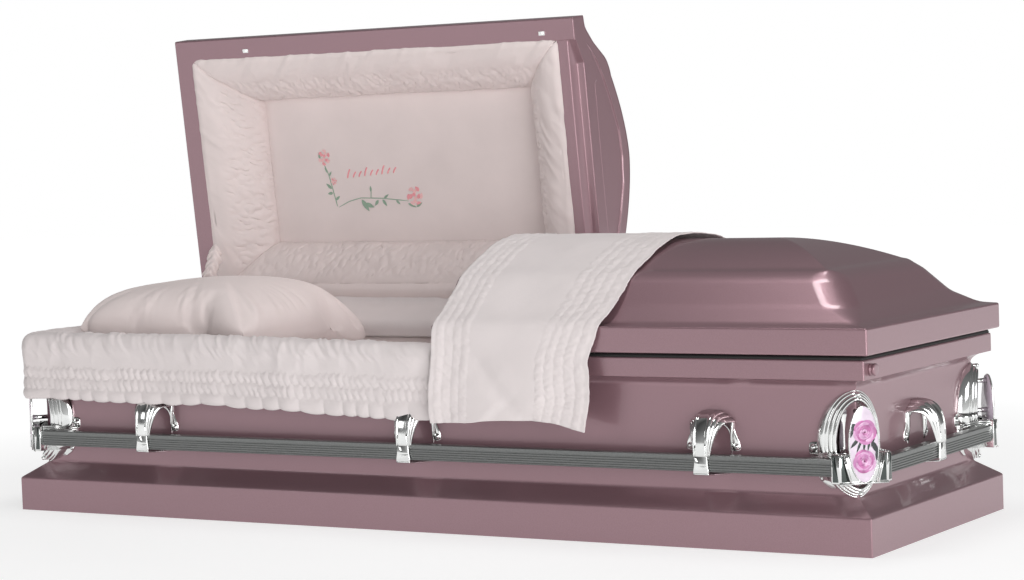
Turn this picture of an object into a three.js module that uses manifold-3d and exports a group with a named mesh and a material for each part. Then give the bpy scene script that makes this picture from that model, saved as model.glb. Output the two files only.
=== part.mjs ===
// Half-couch steel casket with a fitted interior: the head lid stands open and the foot lid is shut.
// +X runs to the foot end, -Y is the front, +Z is up, and the origin is the centre of the underside.
import * as THREE from 'three';
import { mergeVertices } from 'three/addons/utils/BufferGeometryUtils.js';
import Module from 'manifold-3d';

const wasm = await Module();
wasm.setup();

// Driving dimensions in millimetres: body
const sheet = 1.2;
const fitGap = 0.3;
const baseLength = 2134;
const baseWidth = 675.7;
const baseFascia = 74;
const baseInset = 47;
const baseSlopeRise = 33.4;
const wallTop = 314;
const coveFlare = 33.4;
const coveRise = 22;
const rimFascia = 37;
const rimShelf = 41;
const rimLip = 15;
const mitreGap = 0.2;

// Driving dimensions: lids
const lidOverhang = 14.3;
const lidGap = 12;
const lidFascia = 50;
const lidFlange = 49;
const lidLedge = 28;
const lidLedgeRise = 4;
const lidCoveWidth = 37;
const lidCoveRise = 32;
const lidSlopeWidth = 44;
const lidSlopeRise = 53;
const shoulderWidth = 25;
const shoulderRise = 12;
const valleyWidth = 17;
const valleyRise = 4;
const crownRise = 53;
const crownPower = 1.7;
const lidCornerRadius = 58;
const splitX = 84;
const splitGap = 3;
const openAngle = 83.5;
const hingeBehindRim = 45.7;
const hingeAboveRim = 7;

// Driving dimensions: lid ends at the split
const headerFlange = 46;
const rebateDepth = 19;
const rebateHeight = 33;
const rebateStart = 42;
const rebateSlant = 56;
const tongueDepth = 15;
const tongueClearance = 6;

// Driving dimensions: handles
const barFaceOffset = 55;
const barDepth = 22;
const barHeight = 33.5;
const barBottom = 152.5;
const barClearance = 1;
const fluteCount = 5;
const fluteDepth = 1.6;
const armFromCorner = 317;
const armShift = 10;
const endArmShift = -10;
const armWidth = 34;
const armHoodWidth = 94;
const armTop = 264;
const armShell = 3;
const armRib = 2.4;
const armRibWidth = 7;
const armRibPitch = 11.5;
const armFlangeWidth = 120;
const armEarHeight = 18;
const armEarWidth = 22;
const armShoulderDrop = 14;
const armShoulderSlope = 11;
const armScrewSpread = 49;
const armScrewRise = 13;
const armLipDepth = 13;
const screwRadius = 4.2;
const screwHeight = 3;

// Driving dimensions: corner castings and their medallions
const castingHalfWidth = 58;
const castingHalfHeight = 102.8;
const castingRing = 11;
const castingFront = 4;
const castingStep = 6;
const castingStepFront = 13;
const socketReach = 26;
const socketMargin = 5;
const socketDiagonal = 49;
const socketWall = 29;
const earRadius = 8;
const earThickness = 4;
const earReachHigh = 88;
const earReachLow = 56;
const earHighZ = 200;
const earLowZ = 133;
const medallionHalfWidth = 33.5;
const medallionHalfHeight = 74;
const medallionThickness = 4;
const medallionCentreZ = 213.5;

// Driving dimensions: small metal parts
const gasketWidth = 9;
const gasketHeight = 8;
const gasketSetBack = 2;
const plugRadius = 12;
const plugProud = 13;
const plugFromFront = 30;
const catchLength = 16;
const catchDepth = 9;
const catchDrop = 8;
const catchSetBack = 27;
const catchFromSplit = 84;
const catchFromHeadEnd = 218.4;
const hingeWidth = 70;
const hingeLeaf = 2.5;
const hingeBarrel = 6;
const hingePin = 2.8;
const hingeBore = 3;
const hingeHeadFromSplit = 204;
const hingeHeadFromEnd = 215.2;
const hingeFootFromSplit = 196;
const hingeFootFromEnd = 167.2;

// Driving dimensions: interior and soft goods
const padGap = 5;
const liningThickness = 12;
const liningBottom = 100;
const liningTop = 355;
const mattressTop = 330;
const mattressThickness = 110;
const bedRail = 25;
const bedLeg = 30;
const bedInset = 40;
const pillowLength = 515;
const pillowFromSide = 18;
const pillowRise = 190;
const pillowFromHead = 28;
const skirtRise = 33;
const skirtBottom = 252;
const skirtThickness = 10;
const skirtClear = 10;
const skirtInner = 66;
const skirtFromSplit = 14;
const headSkirtReach = 205;
const throwThickness = 7;
const throwLift = 1.5;
const throwStart = 5;
const throwTopWidth = 462;
const throwHemWidth = 368;
const throwRear = 130;
const throwBottom = 226;
const apronThickness = 6;
const apronFromHead = 54;
const apronLap = 4;
const apronLowRise = 14;
const apronMiddleRun = 30;
const apronMiddleRise = 42;
const apronTopRise = 72;
const apronFromHinge = 20;
const sleeveRadius = 17;
const sleeveFromHead = 30;
const sleeveFromRear = 52;
const sleeveRun = 78;
const sleeveRise = 223;
const sleeveLap = 18;
const sleeveRings = 4;
const panelDepth = 102;
const panelThickness = 10;
const rollInset = 2;
const rollWidth = 118;
const rollBulge = 30;
const rollBack = 10;

// Sizes worked out from the driving dimensions
const baseHalfLength = baseLength / 2;
const baseHalfWidth = baseWidth / 2;
const wallHalfLength = baseHalfLength - baseInset;
const wallHalfWidth = baseHalfWidth - baseInset;
const wallBottom = baseFascia + baseSlopeRise;
const rimBottom = wallTop + coveRise;
const rimTop = rimBottom + rimFascia;
const lidBottom = rimTop + lidGap;
const lidHalfLength = wallHalfLength + coveFlare + lidOverhang;
const lidHalfWidth = wallHalfWidth + coveFlare + lidOverhang;
const hingeY = wallHalfWidth + coveFlare + hingeBehindRim;
const hingeZ = rimTop + hingeAboveRim;
const barTop = barBottom + barHeight;
const armPitch = wallHalfLength - armFromCorner;
const headFace = splitX - splitGap / 2;
const footFace = splitX + splitGap / 2;
const arcSteps = 4;
const ovalSteps = 16;
const barrelSteps = 10;
const screwSteps = 6;
const reach = 3000;

// Finishes
const finish = {
  paint: { color: 0x91737a, roughness: 0.35, metalness: 0.5 },
  chrome: { color: 0xd9dadb, roughness: 0.12, metalness: 1 },
  fluted: { color: 0x74777a, roughness: 0.4, metalness: 0.9 },
  rubber: { color: 0x141414, roughness: 0.7, metalness: 0 },
  enamel: { color: 0xcdbbd8, roughness: 0.25, metalness: 0 },
  crepe: { color: 0xe6d3d0, roughness: 0.9, metalness: 0 },
  bed: { color: 0x8b8d90, roughness: 0.5, metalness: 0.8 },
};

// Closed geometry: shared corners merged, empty faces dropped and faces turned outwards
function closed(geometry) {
  const bare = new THREE.BufferGeometry();
  bare.setAttribute('position', geometry.getAttribute('position').clone());
  if (geometry.index) {
    bare.setIndex(geometry.index.clone());
  }
  const merged = mergeVertices(bare, 1e-3);
  const position = merged.getAttribute('position');
  const source = merged.index.array;
  const corner = [0, 1, 2].map(() => new THREE.Vector3());
  const kept = [];
  let volume = 0;
  for (let i = 0; i < source.length; i += 3) {
    const [a, b, c] = source.slice(i, i + 3);
    if (a === b || b === c || a === c) {
      continue;
    }
    kept.push(a, b, c);
    [a, b, c].forEach((v, k) => corner[k].fromBufferAttribute(position, v));
    volume += corner[0].dot(corner[1].clone().cross(corner[2]));
  }
  merged.setIndex(volume < 0 ? kept.reverse() : kept);
  return merged;
}

function solid(geometry) {
  const tidy = closed(geometry);
  return new wasm.Manifold(new wasm.Mesh({
    numProp: 3,
    vertProperties: new Float32Array(tidy.getAttribute('position').array),
    triVerts: new Uint32Array(tidy.index.array),
  }));
}

function geometryOf(manifold) {
  const mesh = manifold.getMesh();
  const geometry = new THREE.BufferGeometry();
  geometry.setAttribute('position', new THREE.BufferAttribute(mesh.vertProperties, 3));
  geometry.setIndex(new THREE.BufferAttribute(mesh.triVerts, 1));
  return geometry;
}

function joined(parts) {
  return parts.reduce((sum, part) => sum.add(part));
}

function block(x0, x1, y0, y1, z0, z1) {
  const box = new THREE.BoxGeometry(x1 - x0, y1 - y0, z1 - z0);
  return solid(box.translate((x0 + x1) / 2, (y0 + y1) / 2, (z0 + z1) / 2));
}

function moved(geometry, place) {
  const position = geometry.getAttribute('position');
  const point = new THREE.Vector3();
  for (let i = 0; i < position.count; i += 1) {
    point.fromBufferAttribute(position, i);
    position.setXYZ(i, ...place(point.x, point.y, point.z));
  }
  return geometry;
}

function slab(points, depth) {
  const shape = new THREE.Shape(points.map(([x, y]) => new THREE.Vector2(x, y)));
  return new THREE.ExtrudeGeometry(shape, { depth, bevelEnabled: false, steps: 1 });
}

// Outline in Y and Z, drawn out along X
function alongX(points, x0, x1) {
  return solid(moved(slab(points, x1 - x0), (a, b, c) => [x0 + c, a, b]));
}

// Outline in X and Z, drawn out along Y
function alongY(points, y0, y1) {
  return solid(moved(slab(points, y1 - y0), (a, b, c) => [a, y0 + c, b]));
}

// Outline in X and Y, drawn out along Z
function alongZ(points, z0, z1) {
  return solid(slab(points, z1 - z0).translate(0, 0, z0));
}

function rodAlongX(radius, x0, x1, y, z, steps = barrelSteps) {
  const rod = new THREE.CylinderGeometry(radius, radius, x1 - x0, steps);
  return solid(rod.rotateZ(Math.PI / 2).translate((x0 + x1) / 2, y, z));
}

function rodAlongY(radius, y0, y1, x, z, steps = barrelSteps) {
  const rod = new THREE.CylinderGeometry(radius, radius, y1 - y0, steps);
  return solid(rod.translate(x, (y0 + y1) / 2, z));
}

// Polyline moved sideways by a distance, to the left of its direction
function offset(points, distance) {
  return points.map((point, i) => {
    const before = points[Math.max(i - 1, 0)];
    const after = points[Math.min(i + 1, points.length - 1)];
    const normals = [[before, point], [point, after]]
      .filter(([from, to]) => from !== to)
      .map(([from, to]) => {
        const run = Math.hypot(to[0] - from[0], to[1] - from[1]);
        return [(from[1] - to[1]) / run, (to[0] - from[0]) / run];
      });
    const first = normals[0];
    const last = normals[normals.length - 1];
    const scale = distance / (1 + first[0] * last[0] + first[1] * last[1]);
    return [point[0] + scale * (first[0] + last[0]), point[1] + scale * (first[1] + last[1])];
  });
}

// Bent sheet metal: a polyline thickened to its left
function sheetSection(points, thickness) {
  return [...points, ...offset(points, thickness).reverse()];
}

function arc(centre, radii, from, to, steps) {
  return Array.from({ length: steps + 1 }, (_, i) => {
    const angle = THREE.MathUtils.degToRad(from + ((to - from) * i) / steps);
    return [centre[0] + radii[0] * Math.cos(angle), centre[1] + radii[1] * Math.sin(angle)];
  });
}

function bend(from, control, to, steps) {
  return Array.from({ length: steps + 1 }, (_, i) => {
    const t = i / steps;
    const s = 1 - t;
    return [0, 1].map((k) => s * s * from[k] + 2 * s * t * control[k] + t * t * to[k]);
  });
}

// Section of outward offset and height, run along a side of a rectangle and mitred at both ends
function mitredStrip(section, halfRun, halfAcross, gap) {
  return moved(slab(section, 1), (out, height, end) => {
    const side = end > 0.5 ? 1 : -1;
    return [side * (halfRun + out - gap), -(halfAcross + out), height];
  });
}

function named(name, look, shape) {
  const geometry = shape instanceof THREE.BufferGeometry ? closed(shape) : geometryOf(shape);
  const mesh = new THREE.Mesh(geometry, new THREE.MeshStandardMaterial(finish[look]));
  mesh.name = name;
  return mesh;
}

// Body panels: base moulding, wall, cove and rim rolled from one sheet, mitred at the corners
function bodySection() {
  const outline = [
    [baseInset, 0],
    [baseInset, baseFascia],
    [0, wallBottom],
    ...arc([coveFlare, wallTop], [coveFlare, coveRise], 180, 90, arcSteps),
    [coveFlare, rimTop],
    [coveFlare - rimShelf, rimTop],
    [coveFlare - rimShelf, rimTop - rimLip],
  ];
  return sheetSection(outline, sheet);
}

function bodyPanels() {
  const section = bodySection();
  const side = () => mitredStrip(section, wallHalfLength, wallHalfWidth, mitreGap);
  const end = () => mitredStrip(section, wallHalfWidth, wallHalfLength, mitreGap);
  return [
    named('front_side_panel', 'paint', side()),
    named('rear_side_panel', 'paint', side().rotateZ(Math.PI)),
    named('foot_end_panel', 'paint', end().rotateZ(Math.PI / 2)),
    named('head_end_panel', 'paint', end().rotateZ(-Math.PI / 2)),
  ];
}

function bottomPan() {
  const edge = sheet + fitGap;
  return named('bottom_pan', 'paint', block(
    -baseHalfLength + edge, baseHalfLength - edge, -baseHalfWidth + edge, baseHalfWidth - edge, 0, sheet,
  ));
}

function gasket() {
  const low = rimTop + fitGap;
  const outer = coveFlare - gasketSetBack;
  const ring = (out) => [wallHalfLength + out, wallHalfWidth + out];
  const [x1, y1] = ring(outer);
  const [x0, y0] = ring(outer - gasketWidth);
  const high = low + gasketHeight;
  const hole = block(-x0, x0, -y0, y0, low - 1, high + 1);
  return named('rim_gasket', 'rubber', block(-x1, x1, -y1, y1, low, high).subtract(hole));
}

function lockPlug() {
  const face = wallHalfLength + coveFlare + fitGap;
  const y = -(wallHalfWidth + coveFlare) + plugFromFront;
  const z = rimBottom + rimFascia / 2;
  const collar = rodAlongX(plugRadius, face, face + plugProud * 0.45, y, z);
  const neck = rodAlongX(plugRadius * 0.85, face, face + plugProud * 0.6, y, z);
  const cap = rodAlongX(plugRadius, face + plugProud * 0.55, face + plugProud, y, z);
  return named('lock_plug', 'paint', joined([collar, neck, cap]));
}

// Lid profile of inset from the edge and height above the rim plane
function lidProfile() {
  const ledge = [lidLedge, lidFascia + lidLedgeRise];
  const coveTop = [lidLedge + lidCoveWidth, ledge[1] + lidCoveRise];
  const slopeTop = [coveTop[0] + lidSlopeWidth, coveTop[1] + lidSlopeRise];
  const shoulder = [slopeTop[0] + shoulderWidth, slopeTop[1] + shoulderRise];
  const valley = [shoulder[0] + valleyWidth, shoulder[1] + valleyRise];
  const coveBend = [ledge[0] + lidCoveWidth * 0.37, ledge[1] + lidLedgeRise / 2];
  const shoulderBend = [slopeTop[0] + shoulderWidth * 0.32, slopeTop[1] + shoulderRise * 0.7];
  const crownSteps = 6;
  const crown = Array.from({ length: crownSteps }, (_, i) => {
    const share = (i + 1) / crownSteps;
    const inset = valley[0] + (lidHalfWidth - valley[0]) * share;
    return [inset, valley[1] + crownRise * (1 - (1 - share) ** crownPower)];
  });
  return [
    [0, 0],
    [0, lidFascia],
    ...bend(ledge, coveBend, coveTop, arcSteps),
    ...bend(slopeTop, shoulderBend, shoulder, 3),
    valley,
    ...crown,
  ];
}

// Plan radius of the lid's corner, which is sharp at the rim and the crown and round between them
function cornerRadius(inset) {
  const rise = THREE.MathUtils.smoothstep(inset, lidLedge * 0.6, lidLedge + lidCoveWidth);
  const slopeEnd = lidLedge + lidCoveWidth + lidSlopeWidth;
  const fall = THREE.MathUtils.smoothstep(inset, slopeEnd, slopeEnd + shoulderWidth + valleyWidth);
  return lidCornerRadius * rise * (1 - fall);
}

function planRing(inset, height) {
  const radius = cornerRadius(inset);
  const x = lidHalfLength - inset - radius;
  const y = Math.max(lidHalfWidth - inset - radius, 0);
  const corners = [[x, y, 0], [-x, y, 90], [-x, -y, 180], [x, -y, 270]];
  return corners.flatMap(([cx, cy, start]) =>
    arc([cx, cy], [radius, radius], start, start + 90, arcSteps).map(([px, py]) => [px, py, height]));
}

// Closed form through rings of equal count, with flat or vanishing ends
function loft(rings) {
  const count = rings[0].length;
  const positions = rings.flat(2);
  const index = [];
  for (let level = 0; level + 1 < rings.length; level += 1) {
    for (let i = 0; i < count; i += 1) {
      const a = level * count + i;
      const b = level * count + ((i + 1) % count);
      index.push(a, b, b + count, a, b + count, a + count);
    }
  }
  const top = (rings.length - 1) * count;
  for (let i = 1; i + 1 < count; i += 1) {
    index.push(0, i + 1, i, top, top + i, top + i + 1);
  }
  const geometry = new THREE.BufferGeometry();
  geometry.setAttribute('position', new THREE.Float32BufferAttribute(positions, 3));
  geometry.setIndex(index);
  return geometry;
}

// The full-length lid form, shrunk by a thickness, standing on the lid's rim plane
function lidForm(shrink) {
  const profile = lidProfile();
  const inner = shrink > 0 ? offset(profile, -shrink) : profile;
  const rings = inner.map(([inset, height], i) => {
    const last = i === inner.length - 1;
    return planRing(last ? lidHalfWidth : inset, lidBottom + Math.max(height, shrink));
  });
  return solid(loft(rings));
}

function lidShell() {
  const x = lidHalfLength - lidFlange;
  const y = lidHalfWidth - lidFlange;
  const mouth = block(-x, x, -y, y, lidBottom - 1, lidBottom + 2 * sheet);
  return lidForm(0).subtract(lidForm(sheet)).subtract(mouth);
}

// Trapezium across the lid's split end, in Y and Z
function crossing(start, slant, low, high) {
  const foot = lidHalfWidth - start;
  const top = foot - slant;
  return [[-foot, lidBottom + low], [foot, lidBottom + low], [top, lidBottom + high], [-top, lidBottom + high]];
}

function headLidHeader() {
  const base = lidBottom + sheet + fitGap;
  const slab0 = block(headFace - headerFlange, headFace, -reach, reach, base, reach);
  const body = lidForm(sheet + fitGap).intersect(slab0);
  const slope = rebateSlant / rebateHeight;
  const rebate = alongX(
    crossing(rebateStart - slope, rebateSlant + slope, -1, rebateHeight), headFace - rebateDepth, headFace + 1,
  );
  const skin = alongX(
    crossing(rebateStart - sheet - slope, rebateSlant + slope, -1, rebateHeight + sheet),
    headFace - rebateDepth - sheet,
    headFace + 1,
  );
  const hollow = block(-reach, headFace - sheet, -reach, reach, base + sheet, reach).subtract(skin);
  return named('head_lid_header', 'paint', body.subtract(hollow).subtract(rebate));
}

function footLidHeader() {
  const base = lidBottom + sheet + fitGap;
  const slab0 = block(footFace, footFace + headerFlange, -reach, reach, base, reach);
  const body = lidForm(sheet + fitGap).intersect(slab0);
  const hollow = block(footFace + sheet, reach, -reach, reach, base + sheet, reach);
  const start = rebateStart + 2 * tongueClearance;
  const low = tongueClearance;
  const high = rebateHeight - tongueClearance;
  const tongue = alongX(crossing(start, rebateSlant, low, high), footFace - tongueDepth, footFace + sheet);
  const groove = alongX(
    crossing(start - rebateSlant, 0, low + sheet, high - sheet), footFace - tongueDepth + sheet, footFace,
  );
  return named('foot_lid_header', 'paint', body.subtract(hollow).add(tongue.subtract(groove)));
}

// Lining of the head lid: four stuffed rolls round a flat panel
function rollSection() {
  const start = [lidFlange + rollInset, 4];
  const end = [start[0] + rollWidth, panelDepth];
  const run = [end[0] - start[0], end[1] - start[1]];
  const length = Math.hypot(run[0], run[1]);
  const normal = [run[1] / length, -run[0] / length];
  const control = [0, 1].map((k) => (start[k] + end[k]) / 2 + normal[k] * rollBulge);
  const front = bend(start, control, end, 6);
  const back = [[end[0] - 3, end[1] + rollBack * 0.8], [start[0] + 1, start[1] + rollBack]];
  return [...front, ...back].map(([inset, height]) => [-inset, lidBottom + height]);
}

function headLidLining() {
  const section = rollSection();
  const halfRun = (headFace + lidHalfLength) / 2;
  const centre = (headFace - lidHalfLength) / 2;
  const long = () => mitredStrip(section, halfRun, lidHalfWidth, fitGap);
  const short = () => mitredStrip(section, lidHalfWidth, halfRun, fitGap);
  const inset = lidFlange + rollInset + rollWidth + fitGap;
  const panel = block(
    centre - halfRun + inset, centre + halfRun - inset, -lidHalfWidth + inset, lidHalfWidth - inset,
    lidBottom + panelDepth, lidBottom + panelDepth + panelThickness,
  );
  return [
    named('lid_lining_front', 'crepe', long().translate(centre, 0, 0)),
    named('lid_lining_rear', 'crepe', long().rotateZ(Math.PI).translate(centre, 0, 0)),
    named('lid_lining_split', 'crepe', short().rotateZ(Math.PI / 2).translate(centre, 0, 0)),
    named('lid_lining_head', 'crepe', short().rotateZ(-Math.PI / 2).translate(centre, 0, 0)),
    named('lid_panel', 'crepe', panel),
  ];
}

function lidCatch(name, x) {
  const y = -lidHalfWidth + catchSetBack;
  const high = lidBottom - fitGap;
  const half = catchLength / 2;
  const plate = block(x - half, x + half, y, y + catchDepth, high - catchDrop * 0.35, high);
  const hook = block(x - half * 0.6, x + half * 0.3, y + 1, y + catchDepth * 0.6, high - catchDrop, high - 1);
  return named(name, 'chrome', plate.add(hook));
}

// Hinges stand off the rear rims, with the lower leaf and its pin on the body
function lowerLeaf(name, x) {
  const face = wallHalfWidth + coveFlare + fitGap;
  const half = hingeWidth / 2;
  const low = rimBottom + 3;
  const high = rimTop - 3;
  const inner = half * 0.6;
  const plate = block(x - half, x + half, face, face + hingeLeaf, low, high);
  const web = [
    [face, low + 4], [face, high], [hingeY, hingeZ + hingeBarrel * 0.9], [hingeY, hingeZ - hingeBarrel * 0.9],
  ];
  const lugs = [-1, 1].flatMap((side) => {
    const from = side > 0 ? x + inner : x - half;
    const to = side > 0 ? x + half : x - inner;
    return [alongX(web, from, to), rodAlongX(hingeBarrel, from, to, hingeY, hingeZ)];
  });
  const pin = rodAlongX(hingePin, x - half, x + half, hingeY, hingeZ);
  return named(name, 'paint', joined([plate, ...lugs, pin]));
}

function upperLeaf(name, x) {
  const face = lidHalfWidth + fitGap;
  const half = hingeWidth / 2;
  const inner = half * 0.6 - 1;
  const plate = block(x - half, x + half, face, face + hingeLeaf, lidBottom + 4, lidBottom + lidFascia - 4);
  const web = [
    [face, lidBottom + 5], [face, lidBottom + 30], [hingeY, hingeZ + hingeBarrel * 0.9],
    [hingeY, hingeZ - hingeBarrel * 0.9],
  ];
  const knuckle = alongX(web, x - inner, x + inner).add(rodAlongX(hingeBarrel, x - inner, x + inner, hingeY, hingeZ));
  const bore = rodAlongX(hingeBore, x - half, x + half, hingeY, hingeZ);
  return named(name, 'paint', plate.add(knuckle.subtract(bore)));
}

// Handle bars with fluted faces, run along a side from casting to casting
function barSection() {
  const back = barFaceOffset - barDepth;
  const pitch = barHeight / (fluteCount + 1);
  const face = Array.from({ length: fluteCount }, (_, i) => {
    const middle = barBottom + pitch * (i + 1);
    return [
      [barFaceOffset, middle - pitch * 0.32], [barFaceOffset - fluteDepth, middle - pitch * 0.1],
      [barFaceOffset - fluteDepth, middle + pitch * 0.1], [barFaceOffset, middle + pitch * 0.32],
    ];
  }).flat();
  return [[back, barBottom], [barFaceOffset, barBottom], ...face, [barFaceOffset, barTop], [back, barTop]];
}

function bar(halfRun, halfAcross) {
  const end = halfRun - socketReach - fitGap;
  return moved(slab(barSection(), 1), (out, height, side) => [
    side > 0.5 ? end : -end, -(halfAcross + out), height,
  ]);
}

function bars() {
  return [
    named('front_bar', 'fluted', bar(wallHalfLength, wallHalfWidth)),
    named('rear_bar', 'fluted', bar(wallHalfLength, wallHalfWidth).rotateZ(Math.PI)),
    named('foot_bar', 'fluted', bar(wallHalfWidth, wallHalfLength).rotateZ(Math.PI / 2)),
    named('head_bar', 'fluted', bar(wallHalfWidth, wallHalfLength).rotateZ(-Math.PI / 2)),
  ];
}

// Handle arm at the middle of the front wall plane: an arched hollow hood ending in a clip under the bar
function armArch(outward) {
  const face = barFaceOffset + fitGap + armShell + outward;
  const springing = barTop + 4;
  const curve = arc([fitGap, springing], [face - fitGap, armTop + outward - springing], 90, 0, arcSteps);
  return [...curve, [face, barBottom - 2]];
}

function armBand(outward, inward) {
  const outer = armArch(outward);
  const inner = armArch(-inward);
  return [...outer, ...inner.reverse()].map(([out, height]) => [-(wallHalfWidth + out), height]);
}

// Plan of the hood over a handle arm, wide at the wall and narrow at the bar
function hoodPlan() {
  const front = barFaceOffset + fitGap + armShell + 2 * armRib;
  const narrow = armWidth / 2;
  const right = bend([armHoodWidth / 2, 0], [narrow, front / 3], [narrow, front], arcSteps);
  const left = right.map(([x, out]) => [-x, out]).reverse();
  return [...right, ...left].map(([x, out]) => [x, -(wallHalfWidth + out)]);
}

// Outline of the arm's foot on the wall: two screwed ears below, shoulders above and an open middle
function armFlange() {
  const low = barTop + 1;
  const shoulder = armHoodWidth / 2;
  const right = [
    [armFlangeWidth / 2, low], [armFlangeWidth / 2, low + armEarHeight], [shoulder, armTop - armShoulderDrop],
    [shoulder - armShoulderSlope, armTop],
  ];
  return [...right, ...right.map(([x, z]) => [-x, z]).reverse()];
}

function armFlangeOpening() {
  const low = barTop;
  const high = armTop - 2 * armShoulderDrop;
  const foot = armFlangeWidth / 2 - armEarWidth;
  const top = foot - armShoulderSlope;
  return [[-foot, low], [foot, low], [top, high], [-top, high]];
}

function arm() {
  const half = armWidth / 2;
  const hoodHalf = armHoodWidth / 2;
  const hood = alongX(armBand(0, armShell), -hoodHalf, hoodHalf).intersect(alongZ(hoodPlan(), 0, reach));
  const ribs = [-1, 0, 1].map((k) => {
    const x = k * armRibPitch;
    return alongX(armBand(armRib, armShell / 2), x - armRibWidth / 2, x + armRibWidth / 2);
  });
  const wall = -(wallHalfWidth + fitGap);
  const flange = alongY(armFlange(), wall - armShell, wall);
  const opening = alongY(armFlangeOpening(), wall - armShell - 1, wall + 1);
  const lipTop = barBottom - fitGap;
  const face = barFaceOffset + fitGap + armShell;
  const lip = block(
    -half, half, -(wallHalfWidth + face), -(wallHalfWidth + face - armLipDepth), lipTop - armShell, lipTop,
  );
  const screws = [-1, 1].map((side) => rodAlongY(
    screwRadius, wall - armShell - screwHeight, wall - armShell / 2, side * armScrewSpread, barTop + armScrewRise,
    screwSteps,
  ));
  const room = block(-reach, reach, wall, reach, -reach, reach);
  return geometryOf(joined([hood, ...ribs, flange.subtract(opening), lip, ...screws]).subtract(room));
}

function arms() {
  const places = ['head', 'middle', 'foot'];
  const across = wallHalfLength - wallHalfWidth;
  const sides = places.flatMap((place, i) => {
    const x = armShift + (i - 1) * armPitch;
    return [
      named(`front_arm_${place}`, 'chrome', arm().translate(x, 0, 0)),
      named(`rear_arm_${place}`, 'chrome', arm().rotateZ(Math.PI).translate(x, 0, 0)),
    ];
  });
  return [
    ...sides,
    named('foot_arm', 'chrome', arm().rotateZ(Math.PI / 2).translate(across, endArmShift, 0)),
    named('head_arm', 'chrome', arm().rotateZ(-Math.PI / 2).translate(-across, endArmShift, 0)),
  ];
}

// Corner casting at the front foot corner, built about the wall's corner edge with its axis on the diagonal
function ovalPlate(halfWidth, halfHeight, centreZ, from, to) {
  const outline = arc([0, centreZ], [halfWidth, halfHeight], 0, 360, ovalSteps).slice(0, -1);
  const plate = moved(slab(outline, to - from), (a, b, c) => [a, -to + c, b]);
  return plate.rotateZ(Math.PI / 4);
}

function castingShell() {
  const centreZ = (wallBottom + wallTop) / 2;
  const back = -castingHalfWidth - castingRing;
  const steps = [[0, castingFront], [castingStep, castingStepFront]].map(([inset, front]) => solid(ovalPlate(
    castingHalfWidth - inset, castingHalfHeight - inset, centreZ, back, front,
  )));
  const hole = castingRing + castingStep;
  const bore = ovalPlate(castingHalfWidth - hole, castingHalfHeight - hole, centreZ, back - 1, castingStepFront + 1);
  return joined(steps).subtract(solid(bore));
}

function castingSocket() {
  const face = barFaceOffset + socketMargin - 1;
  const inner = socketWall;
  const plan = [
    [-socketReach, -inner], [-socketReach, -face], [socketDiagonal - face, -face], [face, face - socketDiagonal],
    [face, socketReach], [inner, socketReach], [1, -1],
  ];
  return alongZ(plan, barBottom - socketMargin, barTop + socketMargin);
}

function castingEars() {
  const spots = [[earReachHigh, earHighZ], [earReachLow, earLowZ]];
  return spots.flatMap(([run, z]) => [
    rodAlongY(earRadius, -earThickness, 1, -run, z, screwSteps),
    block(-run, -castingHalfWidth / 2, -earThickness, 1, z - earRadius * 0.7, z + earRadius * 0.7),
    rodAlongY(screwRadius, -earThickness - screwHeight, 0, -run, z, screwSteps),
    rodAlongX(earRadius, -1, earThickness, run, z, screwSteps),
    block(-1, earThickness, castingHalfWidth / 2, run, z - earRadius * 0.7, z + earRadius * 0.7),
    rodAlongX(screwRadius, 0, earThickness + screwHeight, run, z, screwSteps),
  ]);
}

// Room for the two bars where they pass the casting's shell on their way into its sockets
function barNotches() {
  const near = barFaceOffset - barDepth - barClearance;
  const far = barFaceOffset + barClearance;
  const low = barBottom - barClearance;
  const high = barTop + barClearance;
  return block(-reach, -socketReach, -far, -near, low, high).add(block(near, far, socketReach, reach, low, high));
}

function casting() {
  const corner = block(-reach, fitGap, -fitGap, reach, -reach, reach);
  const form = joined([castingShell(), castingSocket(), ...castingEars()]).subtract(corner);
  return geometryOf(form.subtract(barNotches())).translate(wallHalfLength, -wallHalfWidth, 0);
}

function medallion() {
  const back = socketDiagonal / Math.SQRT2 + fitGap;
  const plate = ovalPlate(medallionHalfWidth, medallionHalfHeight, medallionCentreZ, back, back + medallionThickness);
  return plate.translate(wallHalfLength, -wallHalfWidth, 0);
}

// Space kept free in the cloth round the medallion of the front head corner
function medallionRoom() {
  const front = socketDiagonal / Math.SQRT2 + fitGap + medallionThickness + barClearance;
  const room = ovalPlate(
    medallionHalfWidth + barClearance, medallionHalfHeight + barClearance, medallionCentreZ, 0, front,
  );
  return room.scale(-1, 1, 1).translate(-wallHalfLength, -wallHalfWidth, 0);
}

function corners() {
  const places = [['front_foot', 1, 1], ['front_head', -1, 1], ['rear_foot', 1, -1], ['rear_head', -1, -1]];
  return places.flatMap(([place, sx, sy]) => [
    named(`casting_${place}`, 'chrome', casting().scale(sx, sy, 1)),
    named(`medallion_${place}`, 'enamel', medallion().scale(sx, sy, 1)),
  ]);
}

// Interior: padded wall linings, bed frame, mattress and pillow
function liningStrips() {
  const out = -sheet - fitGap;
  const section = [
    [out, liningBottom], [out, liningTop], [out - liningThickness, liningTop], [out - liningThickness, liningBottom],
  ];
  const side = () => mitredStrip(section, wallHalfLength, wallHalfWidth, fitGap);
  const end = () => mitredStrip(section, wallHalfWidth, wallHalfLength, fitGap);
  return [
    named('lining_front', 'crepe', side()),
    named('lining_rear', 'crepe', side().rotateZ(Math.PI)),
    named('lining_foot', 'crepe', end().rotateZ(Math.PI / 2)),
    named('lining_head', 'crepe', end().rotateZ(-Math.PI / 2)),
  ];
}

const bedHalfLength = wallHalfLength - sheet - fitGap - liningThickness - padGap;
const bedHalfWidth = wallHalfWidth - sheet - fitGap - liningThickness - padGap;

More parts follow.
